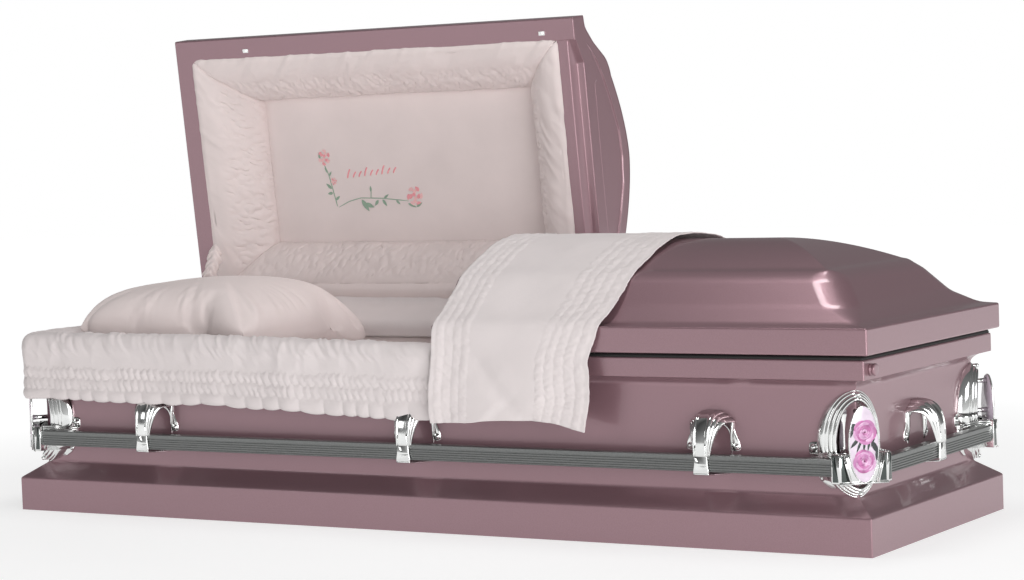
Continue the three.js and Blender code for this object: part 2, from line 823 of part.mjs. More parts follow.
function bedFrame() {
  const x = bedHalfLength - bedInset;
  const y = bedHalfWidth - bedInset;
  const high = mattressTop - mattressThickness - fitGap;
  const low = high - bedRail;
  const floor = sheet + fitGap;
  const rim = block(-x, x, -y, y, low, high);
  const inside = block(-x + bedRail, x - bedRail, -y + bedRail, y - bedRail, low - 1, high + 1);
  const slats = [-0.5, 0, 0.5].map((share) => {
    const centre = share * x;
    return block(centre - bedRail / 2, centre + bedRail / 2, -y, y, low, high);
  });
  const legs = [[-1, -1], [-1, 1], [1, -1], [1, 1]].map(([sx, sy]) => {
    const legX = sx * (x - bedLeg / 2);
    const legY = sy * (y - bedLeg / 2);
    const half = bedLeg / 2;
    return block(legX - half, legX + half, legY - half, legY + half, floor, high);
  });
  return named('bed_frame', 'bed', joined([rim.subtract(inside), ...slats, ...legs]));
}

function mattress() {
  const edge = 20;
  const rings = [[edge, 0], [0, edge], [0, mattressThickness - edge], [edge, mattressThickness]];
  const shape = loft(rings.map(([inset, height]) => {
    const x = bedHalfLength - inset;
    const y = bedHalfWidth - inset;
    const z = mattressTop - mattressThickness + height;
    return [[x, y, z], [-x, y, z], [-x, -y, z], [x, -y, z]];
  }));
  return named('mattress', 'crepe', shape);
}

function pillow() {
  const pillowWidth = 2 * (bedHalfWidth - pillowFromSide);
  const base = mattressTop + fitGap;
  const points = 20;
  const levels = [[0.86, 0], [0.98, 0.1], [1, 0.24], [0.94, 0.48], [0.74, 0.78], [0.38, 1]];
  const rings = levels.map(([share, height]) => Array.from({ length: points }, (_, i) => {
    const angle = (2 * Math.PI * i) / points;
    const square = (value) => Math.sign(value) * Math.abs(value) ** 0.55;
    return [
      square(Math.cos(angle)) * share * (pillowLength / 2),
      square(Math.sin(angle)) * share * (pillowWidth / 2),
      base + height * pillowRise,
    ];
  }));
  const x = -bedHalfLength - padGap + pillowFromHead + pillowLength / 2;
  return named('pillow', 'crepe', loft(rings).translate(x, 0, 0));
}

// Cloth skirt folded out over the rim, as an outline of outward offset and height
function skirtSection() {
  const top = rimTop + skirtRise;
  const under = rimTop + fitGap + gasketHeight + 2;
  const outer = coveFlare + skirtClear + skirtThickness;
  const inner = coveFlare - skirtInner;
  const drop = under - 30;
  return [
    [inner, drop], [inner, top - 18], [inner + 14, top - 4], [inner + 40, top], [outer - 16, top],
    [outer - 3, top - 10], [outer, top - 30], [outer, skirtBottom], [outer - skirtThickness, skirtBottom],
    [outer - skirtThickness, under], [inner + 7, under], [inner + 7, drop],
  ];
}

function skirts() {
  const frontOutline = skirtSection().map(([out, z]) => [-(wallHalfWidth + out), z]);
  const headOutline = skirtSection().map(([out, z]) => [-(wallHalfLength + out), z]);
  const outer = coveFlare + skirtClear + skirtThickness;
  const corner = wallHalfLength + outer - skirtThickness;
  const front = alongX(frontOutline, -corner, headFace - skirtFromSplit);
  const frontCut = wallHalfWidth + coveFlare - skirtInner;
  const head = alongY(headOutline, -(wallHalfWidth + outer), headSkirtReach);
  const headSide = (shift) => alongZ([
    [-wallHalfLength - reach, -wallHalfWidth - reach + shift], [-wallHalfLength + reach, -wallHalfWidth + reach + shift],
    [-wallHalfLength - reach, -wallHalfWidth + reach + shift],
  ], 0, reach).add(block(-reach, 0, -frontCut + shift, reach, 0, reach));
  const room = solid(medallionRoom());
  return [
    named('skirt_front', 'crepe', front.subtract(headSide(0)).subtract(room)),
    named('skirt_head', 'crepe', head.intersect(headSide(2 * fitGap)).subtract(room)),
  ];
}

// Cloth throw laid over the shut foot lid, with a width that narrows to the hem
function footThrow() {
  const crown = lidProfile().map(([inset, height]) => [-lidHalfWidth + inset, lidBottom + height]);
  const rear = crown.map(([y, z]) => [-y, z]).reverse().filter(([y]) => y < throwRear && y > 0);
  const drop = [-lidHalfWidth, throwBottom];
  const path = [drop, ...crown.slice(1), ...rear];
  const inner = offset(path, throwLift);
  const outer = offset(path, throwLift + throwThickness);
  const start = footFace + throwStart;
  const cloth = moved(slab([...inner, ...outer.reverse()], 1), (y, z, end) => {
    const share = THREE.MathUtils.clamp((z - throwBottom) / (lidBottom + lidFascia * 2 - throwBottom), 0, 1);
    return [start + end * THREE.MathUtils.lerp(throwHemWidth, throwTopWidth, share), y, z];
  });
  return named('foot_throw', 'crepe', cloth);
}

// Cloth between the rear lining and the open head lid, and the sleeve over the lid's stay
function apron() {
  const foot = wallHalfWidth - sheet - fitGap - liningThickness - apronLap;
  const path = [
    [foot, liningTop + fitGap], [foot, rimTop + apronLowRise], [foot + apronMiddleRun, rimTop + apronMiddleRise],
    [hingeY - apronFromHinge, rimTop + apronTopRise],
  ];
  const outline = sheetSection(path, apronThickness);
  return named('rear_apron', 'crepe', alongX(outline, -wallHalfLength + apronFromHead, headFace - skirtFromSplit));
}

function staySleeve() {
  const rings = Array.from({ length: sleeveRings }, (_, i) => {
    const share = i / (sleeveRings - 1);
    const radius = sleeveRadius * (i % 2 ? 1 : 0.8);
    const y = wallHalfWidth - sleeveFromRear + sleeveRun * share ** 1.4;
    const z = liningTop - sleeveLap + sleeveRise * share;
    const ring = arc([-wallHalfLength + sleeveFromHead, y], [radius, radius], 0, 360, barrelSteps);
    return ring.slice(0, -1).map(([px, py]) => [px, py, z]);
  });
  return named('stay_sleeve', 'crepe', loft(rings));
}

function onHinge(parts, degrees) {
  const pivot = new THREE.Group();
  const held = new THREE.Group();
  held.add(...parts);
  held.position.set(0, -hingeY, -hingeZ);
  pivot.position.set(0, hingeY, hingeZ);
  pivot.rotation.x = -THREE.MathUtils.degToRad(degrees);
  pivot.add(held);
  return pivot;
}

function headLid() {
  const keep = block(-reach, headFace, -reach, reach, 0, reach);
  return onHinge([
    named('head_lid_shell', 'paint', lidShell().intersect(keep)),
    headLidHeader(),
    ...headLidLining(),
    lidCatch('lid_catch_foot_side', headFace - catchFromSplit),
    lidCatch('lid_catch_head_side', -lidHalfLength + catchFromHeadEnd),
    upperLeaf('head_hinge_leaf_near', headFace - hingeHeadFromSplit),
    upperLeaf('head_hinge_leaf_far', -lidHalfLength + hingeHeadFromEnd),
  ], openAngle);
}

function footLid() {
  const keep = block(footFace, reach, -reach, reach, 0, reach);
  return onHinge([
    named('foot_lid_shell', 'paint', lidShell().intersect(keep)),
    footLidHeader(),
    footThrow(),
    upperLeaf('foot_hinge_leaf_near', footFace + hingeFootFromSplit),
    upperLeaf('foot_hinge_leaf_far', lidHalfLength - hingeFootFromEnd),
  ], 0);
}

const casket = new THREE.Group();
casket.add(
  ...bodyPanels(),
  bottomPan(),
  gasket(),
  lockPlug(),
  ...bars(),
  ...arms(),
  ...corners(),
  ...liningStrips(),
  bedFrame(),
  mattress(),
  pillow(),
  ...skirts(),
  apron(),
  staySleeve(),
  lowerLeaf('body_hinge_leaf_head_near', headFace - hingeHeadFromSplit),
  lowerLeaf('body_hinge_leaf_head_far', -lidHalfLength + hingeHeadFromEnd),
  lowerLeaf('body_hinge_leaf_foot_near', footFace + hingeFootFromSplit),
  lowerLeaf('body_hinge_leaf_foot_far', lidHalfLength - hingeFootFromEnd),
  headLid(),
  footLid(),
);

export default casket;
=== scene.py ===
"""Half-couch steel casket with a crepe interior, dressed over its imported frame."""

import math

import bmesh
import bpy
import numpy as np
from bpy.props import FloatProperty, FloatVectorProperty, PointerProperty
from mathutils import Matrix, Vector


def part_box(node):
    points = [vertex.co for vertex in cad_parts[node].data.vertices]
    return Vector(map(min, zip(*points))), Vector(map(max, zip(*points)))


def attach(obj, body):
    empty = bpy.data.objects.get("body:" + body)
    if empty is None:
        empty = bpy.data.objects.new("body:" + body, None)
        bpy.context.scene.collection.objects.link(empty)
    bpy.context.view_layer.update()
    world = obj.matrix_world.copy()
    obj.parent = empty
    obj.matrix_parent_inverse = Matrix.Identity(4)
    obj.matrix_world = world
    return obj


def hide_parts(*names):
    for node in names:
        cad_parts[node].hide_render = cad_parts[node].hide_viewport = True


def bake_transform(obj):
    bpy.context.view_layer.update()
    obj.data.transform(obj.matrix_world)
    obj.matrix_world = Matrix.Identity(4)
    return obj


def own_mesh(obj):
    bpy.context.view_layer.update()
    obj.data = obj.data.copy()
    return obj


bl_info = {
    "name": "Half-couch casket",
    "version": (1, 0, 0),
    "blender": (4, 5, 0),
    "location": "3D View > Sidebar > Casket",
    "description": "Builds the painted shell, plated handles and crepe interior of a half-couch casket",
    "category": "Object",
}

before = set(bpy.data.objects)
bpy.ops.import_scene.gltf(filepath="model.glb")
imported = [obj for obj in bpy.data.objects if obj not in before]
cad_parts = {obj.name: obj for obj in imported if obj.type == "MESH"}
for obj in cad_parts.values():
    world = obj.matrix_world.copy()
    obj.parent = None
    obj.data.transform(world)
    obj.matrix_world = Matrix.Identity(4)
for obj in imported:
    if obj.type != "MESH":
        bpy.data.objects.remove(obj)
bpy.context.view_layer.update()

# Wall planes, lid edges and heights of the metal body, in metres
WALL_X = 1.02
WALL_Y = 0.29085
LID_X = 1.0677
LID_Y = 0.33855
LID_Z = 0.385
HEAD_FACE = 0.0825
FOOT_FACE = 0.0855
HINGE = Vector((0.0, 0.36995, 0.38))
SHEET = 0.0012
BAR_LOW = 0.1525
BAR_HIGH = 0.186
ARM_PLACES = {"head": -0.693, "middle": 0.010, "foot": 0.713}
CASTING_Z = 0.2107
CORNERS = {"front_foot": (1, 1), "front_head": (-1, 1), "rear_foot": (1, -1), "rear_head": (-1, -1)}


class CasketSizes(bpy.types.PropertyGroup):
    """Sizes of the dressed casket that a user would change"""

    edge_radius: FloatProperty(
        name="Edge radius", description="Rounding of the pressed steel edges", default=0.0028, min=0.0005,
        unit="LENGTH")
    lid_angle: FloatProperty(
        name="Lid angle", description="How far the head lid stands open", default=math.radians(83.5),
        subtype="ANGLE")
    skirt_drop: FloatProperty(
        name="Skirt hem height", description="Height of the folded-out skirt's hem", default=0.2535,
        unit="LENGTH")
    fold_depth: FloatProperty(
        name="Fold depth", description="Depth of the soft folds in the crepe", default=0.0022, unit="LENGTH")
    puff_depth: FloatProperty(
        name="Puff depth", description="Height of the puffs between stitch rows", default=0.0028,
        unit="LENGTH")
    pillow_rise: FloatProperty(
        name="Pillow height", description="Height of the pillow over the mattress", default=0.188,
        unit="LENGTH")
    camera_lens: FloatProperty(
        name="Lens", description="Focal length of the camera in millimetres", default=93.305)


class CasketColours(bpy.types.PropertyGroup):
    """Colours of the casket's finishes"""

    paint: FloatVectorProperty(
        name="Paint", description="Metallic mauve enamel", default=(0.325, 0.195, 0.222), size=3,
        subtype="COLOR")
    chrome: FloatVectorProperty(
        name="Plating", description="Bright plated castings", default=(0.80, 0.81, 0.80), size=3,
        subtype="COLOR")
    bar: FloatVectorProperty(
        name="Handle bar", description="Fluted handle bars", default=(0.21, 0.215, 0.212), size=3,
        subtype="COLOR")
    crepe: FloatVectorProperty(
        name="Crepe", description="Pale crepe of the skirt and throw", default=(0.74, 0.675, 0.67), size=3,
        subtype="COLOR")
    blush: FloatVectorProperty(
        name="Blush crepe", description="Pinker crepe of the pillow and linings",
        default=(0.76, 0.665, 0.65), size=3, subtype="COLOR")
    rubber: FloatVectorProperty(
        name="Gasket", description="Black rim seal", default=(0.012, 0.012, 0.012), size=3, subtype="COLOR")
    rose: FloatVectorProperty(
        name="Rose thread", description="Pink embroidery thread", default=(0.86, 0.33, 0.36), size=3,
        subtype="COLOR")
    leaf: FloatVectorProperty(
        name="Leaf thread", description="Green embroidery thread", default=(0.27, 0.39, 0.29), size=3,
        subtype="COLOR")
    ground: FloatVectorProperty(
        name="Medallion ground", description="Lilac ground of the medallions", default=(0.68, 0.58, 0.68),
        size=3, subtype="COLOR")
    petal: FloatVectorProperty(
        name="Medallion rose", description="Magenta pink of the medallion roses",
        default=(0.46, 0.13, 0.33), size=3, subtype="COLOR")


# Numbers and noise


def lattice(i, j, seed):
    """Repeatable value between -1 and 1 for each whole-numbered place."""
    mask = np.uint64(0xFFFFFFFF)
    code = i.astype(np.int64) * 374761393 + j.astype(np.int64) * 668265263 + seed * 982451653
    code = code.astype(np.uint64) & mask
    code = ((code ^ (code >> np.uint64(13))) * np.uint64(1274126177)) & mask
    return ((code ^ (code >> np.uint64(16))) & np.uint64(0xFFFF)).astype(float) / 32767.5 - 1.0


def ripple(u, v, seed=1):
    """Smooth noise over two coordinates, one bump per unit."""
    u, v = np.broadcast_arrays(np.asarray(u, float), np.asarray(v, float))
    i, j = np.floor(u), np.floor(v)
    a, b = u - i, v - j
    a, b = a * a * (3 - 2 * a), b * b * (3 - 2 * b)
    low = lattice(i, j, seed) * (1 - a) + lattice(i + 1, j, seed) * a
    high = lattice(i, j + 1, seed) * (1 - a) + lattice(i + 1, j + 1, seed) * a
    return low * (1 - b) + high * b


def ease(value, low, high):
    """Smooth step from 0 at low to 1 at high."""
    t = np.clip((np.asarray(value, float) - low) / (high - low), 0.0, 1.0)
    return t * t * (3 - 2 * t)


def rounded(points, reach, steps=3):
    """Polyline with its corners rounded; reach is one distance or one for each inner corner."""
    points = [np.array(p, float) for p in points]
    reaches = [reach] * (len(points) - 2) if np.isscalar(reach) else list(reach)
    result = [points[0]]
    for a, b, c, r in zip(points, points[1:], points[2:], reaches):
        back, ahead = a - b, c - b
        near = min(r, 0.48 * np.linalg.norm(back), 0.48 * np.linalg.norm(ahead))
        start = b + back / np.linalg.norm(back) * near
        end = b + ahead / np.linalg.norm(ahead) * near
        for t in np.linspace(0, 1, steps + 1):
            result.append((1 - t) ** 2 * start + 2 * t * (1 - t) * b + t * t * end)
    result.append(points[-1])
    return np.array(result)


def resampled(points, spacing):
    """Points of a polyline at even spacing."""
    points = np.asarray(points, float)
    runs = np.concatenate([[0], np.cumsum(np.linalg.norm(np.diff(points, axis=0), axis=1))])
    count = max(int(round(runs[-1] / spacing)), 2)
    at = np.linspace(0, runs[-1], count + 1)
    return np.stack([np.interp(at, runs, points[:, k]) for k in range(points.shape[1])], 1), at


def smoothed(values, rounds):
    """Values of which each inner one is drawn toward its neighbours, round after round."""
    values = values.copy()
    for _ in range(rounds):
        values[1:-1] = 0.25 * values[:-2] + 0.5 * values[1:-1] + 0.25 * values[2:]
    return values


def left_normals(points):
    """Unit normals to the left of a two-dimensional polyline."""
    step = np.gradient(points, axis=0)
    normal = np.stack([-step[:, 1], step[:, 0]], 1)
    return normal / np.maximum(np.linalg.norm(normal, axis=1, keepdims=True), 1e-12)


# Mesh parts: a part is a pair of points and faces


def net(points, wrap_rows=False, wrap_columns=False):
    """Surface through a grid of points."""
    rows, columns = points.shape[:2]
    index = np.arange(rows * columns).reshape(rows, columns)
    if wrap_rows:
        index = np.vstack([index, index[:1]])
    if wrap_columns:
        index = np.hstack([index, index[:, :1]])
    faces = np.stack([index[:-1, :-1], index[1:, :-1], index[1:, 1:], index[:-1, 1:]], -1).reshape(-1, 4)
    return points.reshape(-1, 3), faces.tolist()


def capped(rings):
    """Closed part through rings of points, with a flat face at each end."""
    points, faces = net(rings, wrap_columns=True)
    count = rings.shape[1]
    faces.append(list(range(count))[::-1])
    faces.append([len(points) - count + k for k in range(count)])
    return points, faces


def grid_normals(points):
    """Unit normal at each point of a grid."""
    across = np.gradient(points, axis=1)
    along = np.gradient(points, axis=0)
    normal = np.cross(along, across)
    length = np.linalg.norm(normal, axis=2, keepdims=True)
    return np.where(length > 1e-14, normal / np.maximum(length, 1e-14), np.array([0.0, 0.0, 1.0]))


def thick(points, thickness):
    """Closed part from a grid of points and a second layer at a distance behind it."""
    inner = points - grid_normals(points) * thickness
    rows, columns = points.shape[:2]
    front, faces = net(points)
    back, more = net(inner)
    shift = len(front)
    faces = faces + [[v + shift for v in face[::-1]] for face in more]
    index = np.arange(rows * columns).reshape(rows, columns)
    edge = np.concatenate([index[0, :], index[1:, -1], index[-1, -2::-1], index[-2:0:-1, 0]])
    for a, b in zip(edge, np.roll(edge, -1)):
        faces.append([int(a), int(b), int(b) + shift, int(a) + shift])
    return np.vstack([front, back]), faces


def tube(path, radii, sides, squash=1.0):
    """Closed round part along a path of points."""
    path = np.asarray(path, float)
    radii = np.broadcast_to(np.asarray(radii, float), (len(path),))
    step = np.gradient(path, axis=0)
    step /= np.linalg.norm(step, axis=1, keepdims=True)
    guide = np.array([0.0, 0.0, 1.0]) if abs(step[0][2]) < 0.9 else np.array([1.0, 0.0, 0.0])
    side = np.cross(step, guide)
    side /= np.linalg.norm(side, axis=1, keepdims=True)
    up = np.cross(side, step)
    angle = np.linspace(0, 2 * np.pi, sides, endpoint=False)
    rings = path[:, None] + radii[:, None, None] * (
        np.cos(angle)[None, :, None] * side[:, None] + squash * np.sin(angle)[None, :, None] * up[:, None])
    return capped(rings)


def prism(outline, low, high, edge):
    """Outline in X and Y drawn out along Z, with bevelled ends."""
    outline = np.asarray(outline, float)
    closed_line = np.vstack([outline[-1:], outline, outline[:1]])
    normal = left_normals(closed_line)[1:-1]
    x, y = outline.T
    area = 0.5 * np.sum(x * np.roll(y, -1) - np.roll(x, -1) * y)
    inward = outline + normal * edge * (1 if area > 0 else -1)
    levels = [(inward, low), (outline, low + edge), (outline, high - edge), (inward, high)]
    return capped(np.array([np.column_stack([loop, np.full(len(loop), z)]) for loop, z in levels]))


def lathe(profile, sides):
    """Radius and height pairs turned about Z."""
    profile = np.asarray(profile, float)
    angle = np.linspace(0, 2 * np.pi, sides, endpoint=False)
    rings = np.stack([
        profile[:, 0:1] * np.cos(angle), profile[:, 0:1] * np.sin(angle),
        np.repeat(profile[:, 1:2], sides, axis=1)], -1)
    return capped(rings)


def moved(part, matrix):
    """Part under a matrix, with its faces turned over where the matrix mirrors."""
    matrix = np.array(matrix, float)
    points, faces = part
    points = np.asarray(points) @ matrix[:3, :3].T + matrix[:3, 3]
    if np.linalg.det(matrix[:3, :3]) < 0:
        faces = [face[::-1] for face in faces]
    return points, faces


def axes(x, y, z, at=(0, 0, 0)):
    """Matrix whose columns are the three given axes and a place."""
    return Matrix((
        (x[0], y[0], z[0], at[0]), (x[1], y[1], z[1], at[1]), (x[2], y[2], z[2], at[2]), (0, 0, 0, 1)))


def piece(name, parts, materials, body, stands_for=(), crisp=False):
    """Object from parts, each with the number of its material, riding on a body of the frame."""
    points, faces, looks, shift = [], [], [], 0
    for part, look in parts:
        points.append(np.asarray(part[0], float))
        faces += [[int(v) + shift for v in face] for face in part[1]]
        looks += [look] * len(part[1])
        shift += len(part[0])
    mesh = bpy.data.meshes.new(name)
    mesh.from_pydata(np.vstack(points).tolist(), [], faces)
    mesh.polygons.foreach_set("material_index", looks)
    form = bmesh.new()
    form.from_mesh(mesh)
    bmesh.ops.remove_doubles(form, verts=form.verts, dist=1e-6)
    bmesh.ops.dissolve_degenerate(form, edges=form.edges, dist=1e-7)
    bmesh.ops.recalc_face_normals(form, faces=form.faces)
    form.to_mesh(mesh)
    form.free()
    mesh.polygons.foreach_set("use_smooth", [True] * len(mesh.polygons))
    if crisp:
        mesh.set_sharp_from_angle(angle=math.radians(32))
    for material in materials:
        mesh.materials.append(material)
    obj = bpy.data.objects.new(name, mesh)
    bpy.context.scene.collection.objects.link(obj)
    if crisp:
        weighted = obj.modifiers.new("Even shading", "WEIGHTED_NORMAL")
        weighted.keep_sharp = True
        weighted.weight = 80
    if body:
        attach(obj, body)
    if stands_for:
        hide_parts(*stands_for)
    return obj


def lid_swing():
    """Matrix from the shut to the open head lid."""
    angle = bpy.context.scene.casket_sizes.lid_angle
    return Matrix.Translation(HINGE) @ Matrix.Rotation(-angle, 4, "X") @ Matrix.Translation(-HINGE)


# Finishes


def finish(name, colour, roughness, metallic=0.0, **sockets):
    """New material with its shader's sockets set."""
    known = bpy.data.materials.get(name)
    if known:
        return known, None
    material = bpy.data.materials.new(name)
    material.use_nodes = True
    shader = material.node_tree.nodes["Principled BSDF"]
    shader.inputs["Base Color"].default_value = (*colour, 1)
    shader.inputs["Roughness"].default_value = roughness
    shader.inputs["Metallic"].default_value = metallic
    for socket, value in sockets.items():
        shader.inputs[socket.replace("_", " ")].default_value = value
    material.diffuse_color = (*colour, 1)
    return material, shader


def texture(material, kind, scale, stretch=(1, 1, 1), **settings):
    """Procedural texture over the object's own coordinates."""
    nodes, links = material.node_tree.nodes, material.node_tree.links
    place = nodes.new("ShaderNodeTexCoord")
    mapping = nodes.new("ShaderNodeMapping")
    mapping.inputs["Scale"].default_value = stretch
    node = nodes.new(kind)
    node.inputs["Scale"].default_value = scale
    for key, value in settings.items():
        if key in node.inputs:
            node.inputs[key].default_value = value
        else:
            setattr(node, key, value)
    links.new(place.outputs["Object"], mapping.inputs["Vector"])
    links.new(mapping.outputs["Vector"], node.inputs["Vector"])
    return node


def bump(material, shader, height, strength, distance, under=None):
    """Bump from a texture's output, over another bump if one is given."""
    node = material.node_tree.nodes.new("ShaderNodeBump")
    node.inputs["Strength"].default_value = strength
    node.inputs["Distance"].default_value = distance
    material.node_tree.links.new(height, node.inputs["Height"])
    if under:
        material.node_tree.links.new(under.outputs["Normal"], node.inputs["Normal"])
    material.node_tree.links.new(node.outputs["Normal"], shader.inputs["Normal"])
    return node


def shaded(material, shader, source, stops, socket="Base Color"):
    """Colour ramp from a texture's output into one of the shader's sockets."""
    ramp = material.node_tree.nodes.new("ShaderNodeValToRGB")
    ramp.color_ramp.elements[0].position = stops[0][0]
    ramp.color_ramp.elements[0].color = (*stops[0][1], 1)
    ramp.color_ramp.elements[1].position = stops[-1][0]
    ramp.color_ramp.elements[1].color = (*stops[-1][1], 1)
    for position, colour in stops[1:-1]:
        ramp.color_ramp.elements.new(position).color = (*colour, 1)
    material.node_tree.links.new(source, ramp.inputs["Fac"])
    material.node_tree.links.new(ramp.outputs["Color"], shader.inputs[socket])
    return ramp


def tint(colour, share):
    """Colour made darker or lighter by a share."""
    return tuple(min(c * share, 1.0) for c in colour)


def clouded(material, shader, colour, scale, detail, low, high):
    """Colour that wanders between two shares of itself over noise."""
    cloud = texture(material, "ShaderNodeTexNoise", scale, Detail=detail)
    shaded(material, shader, cloud.outputs["Fac"], [(0.3, tint(colour, low)), (0.7, tint(colour, high))])


def grained(material, shader, scale, detail, strength, distance):
    """Bump from noise."""
    grain = texture(material, "ShaderNodeTexNoise", scale, Detail=detail)
    bump(material, shader, grain.outputs["Fac"], strength, distance)


def enamel_paint():
    """Metallic enamel with a light orange peel."""
    colour = bpy.context.scene.casket_colours.paint
    material, shader = finish("mauve_enamel", colour, 0.36, 0.55, Coat_Weight=0.55, Coat_Roughness=0.07)
    if shader:
        clouded(material, shader, colour, 1400.0, 2.0, 0.88, 1.12)
        grained(material, shader, 90.0, 1.0, 0.03, 0.001)
    return material


def plating():
    """Bright plating, a little cloudy."""
    colour = bpy.context.scene.casket_colours.chrome
    material, shader = finish("bright_plating", colour, 0.09, 1.0)
    if shader:
        wear = texture(material, "ShaderNodeTexNoise", 35.0, Detail=4.0)
        shaded(material, shader, wear.outputs["Fac"], [(0.35, (0.06,) * 3), (0.75, (0.16,) * 3)], "Roughness")
        grained(material, shader, 60.0, 1.0, 0.06, 0.001)
    return material


def dark_plating():
    """Plating that lies in shade."""
    material, shader = finish("shaded_plating", (0.10, 0.115, 0.11), 0.2, 1.0)
    if shader:
        grained(material, shader, 220.0, 2.0, 0.1, 0.0005)
    return material


def bar_metal():
    """Brushed metal of the fluted bars."""
    colour = bpy.context.scene.casket_colours.bar
    material, shader = finish("fluted_bar_metal", colour, 0.34, 0.85)
    if shader:
        clouded(material, shader, colour, 260.0, 3.0, 0.9, 1.12)
        grained(material, shader, 260.0, 3.0, 0.05, 0.0005)
    return material


def seal_rubber():
    """Black rubber of the rim seal."""
    material, shader = finish("seal_rubber", bpy.context.scene.casket_colours.rubber, 0.6)
    if shader:
        grained(material, shader, 700.0, 2.0, 0.2, 0.0004)
    return material


def bed_metal():
    """Plain grey paint of the bed frame."""
    material, shader = finish("bed_paint", (0.25, 0.26, 0.27), 0.45, 0.3)
    if shader:
        grained(material, shader, 260.0, 2.0, 0.15, 0.0005)
    return material


def crepe(name, colour, crinkle):
    """Crepe cloth: a fine weave over a light crinkle."""
    material, shader = finish(name, colour, 0.82, 0.0, Sheen_Weight=0.18, Sheen_Roughness=0.45)
    if shader:
        clouded(material, shader, colour, 9.0, 3.0, 0.965, 1.03)
        small = texture(material, "ShaderNodeTexNoise", 170.0, Detail=3.0, Roughness=0.6)
        first = bump(material, shader, small.outputs["Fac"], crinkle, 0.0012)
        weave = texture(material, "ShaderNodeTexNoise", 1500.0, Detail=1.0)
        bump(material, shader, weave.outputs["Fac"], 0.12, 0.0004, first)
    return material


def pale_crepe():
    """Crepe of the skirt, throw and mattress."""
    return crepe("pale_crepe", bpy.context.scene.casket_colours.crepe, 0.25)


def blush_crepe():
    """Crepe of the pillow and linings."""
    return crepe("blush_crepe", bpy.context.scene.casket_colours.blush, 0.15)


def thread(name, colour):
    """Embroidery thread with the twist of its strands in its bump, and painted shade and highlight that
    follow the twist.
    """
    material, shader = finish(name, colour, 0.6, 0.0, Sheen_Weight=0.3)
    if shader:
        stitch = texture(material, "ShaderNodeTexWave", 420.0, (1, 0.5, 1), Distortion=2.0)
        # Painted shade and highlight: the colour is darker in the twist's grooves and lighter on its raised
        # strands, following the bump.
        shaded(material, shader, stitch.outputs["Fac"], [(0.2, tint(colour, 0.8)), (0.8, tint(colour, 1.2))])
        bump(material, shader, stitch.outputs["Fac"], 0.4, 0.0004)
    return material


def print_gloss(name, colour, spread):
    """Glossy print that wanders about its colour by a spread."""
    material, shader = finish(name, colour, 0.22, 0.0, Coat_Weight=0.6, Coat_Roughness=0.05)
    if shader:
        clouded(material, shader, colour, 90.0, 3.0, 1 - spread, 1 + spread)
    return material


# Pressed steel


def body_line():
    """Outward offset and height of the body's sheet from the floor to the rim's lip."""
    turns = np.linspace(math.pi, math.pi / 2, 9)
    cove = [(0.0334 + 0.0334 * math.cos(a), 0.314 + 0.022 * math.sin(a)) for a in turns]
    edge = bpy.context.scene.casket_sizes.edge_radius
    low = rounded([(0.047, 0), (0.047, 0.074), (0, 0.1074), cove[0]], [edge, 2 * edge])
    high = rounded([cove[-1], (0.0334, 0.373), (-0.0076, 0.373), (-0.0076, 0.358)], [edge, edge])
    return np.vstack([low[:-1], cove, high[1:]])


def ring(half_x, half_y, radius, steps=4):
    """Rounded rectangle in plan."""
    turns = np.radians(np.linspace(0, 90, steps + 1))
    centres = [(half_x - radius, half_y - radius, 0), (radius - half_x, half_y - radius, 90),
               (radius - half_x, radius - half_y, 180), (half_x - radius, radius - half_y, 270)]
    return np.array([
        (x + radius * math.cos(t + math.radians(start)), y + radius * math.sin(t + math.radians(start)))
        for x, y, start in centres for t in turns])


def lid_line():
    """Inset and height of the lid's sheet from its inner flange up to the crown's ridge."""
    edge = bpy.context.scene.casket_sizes.edge_radius
    corners = [(0.049, 0.0045), (0.049, 0), (0, 0), (0, 0.050), (0.028, 0.054), (0.065, 0.086),
               (0.109, 0.139), (0.134, 0.151), (0.151, 0.155)]
    reaches = [0.001, edge, edge, 0.010, 0.010, 0.016, 0.010]
    line = rounded(corners, reaches, 4)
    shares = np.linspace(0, 1, 19)[1:]
    start = 0.151
    crown = [(start + (LID_Y - start) * s, 0.155 + 0.053 * (1 - (1 - s) ** 1.7)) for s in shares]
    return np.vstack([line, crown])


def corner_radius(inset):
    """Plan radius of the lid's corner: sharp at the rim and crown, round between."""
    rise = ease(inset, 0.0168, 0.065)
    fall = ease(inset, 0.109, 0.151)
    return 0.0025 + 0.0555 * float(rise * (1 - fall))


def lid_half(face, side):
    """One lid from its split face to the casket's end; side is 1 for the foot and -1 for the head."""
    rows = []
    for inset, height in lid_line():
        half_x, half_y = LID_X - inset, max(LID_Y - inset, 0.0)
        radius = min(corner_radius(inset), half_y)
        turns = np.radians(np.linspace(-90, 0, 9))
        first = [(half_x - radius + radius * math.cos(t), -half_y + radius + radius * math.sin(t))
            for t in turns]
        second = [(x, -y) for x, y in reversed(first)]
        split = side * face + 0.002
        line = [(split, -half_y)] + first + second + [(split, half_y)]
        rows.append([(side * x, y, LID_Z + height) for x, y in line])
    return thick(np.array(rows) if side > 0 else np.array(rows)[:, ::-1], SHEET)


def lid_height(y):
    """Height of the lid's outer face over its rim plane across the casket."""
    line = lid_line()
    line = line[np.argmax(line[:, 1] > 0.045):]
    return np.interp(LID_Y - np.abs(y), line[:, 0], line[:, 1])


def leaf_line(s):
    """Upper and lower edges of the panel pressed into the lid's end, over the distance from its side."""
    upper = np.interp(s, [0.055, 0.071, 0.105, 0.142, 0.209, 0.277, 0.336],
        [0.050, 0.063, 0.095, 0.117, 0.148, 0.172, 0.177])
    lower = np.interp(s, [0.055, 0.071, 0.150, 0.158, 0.336], [0.058, 0.070, 0.088, 0.077, 0.076])
    return upper, lower


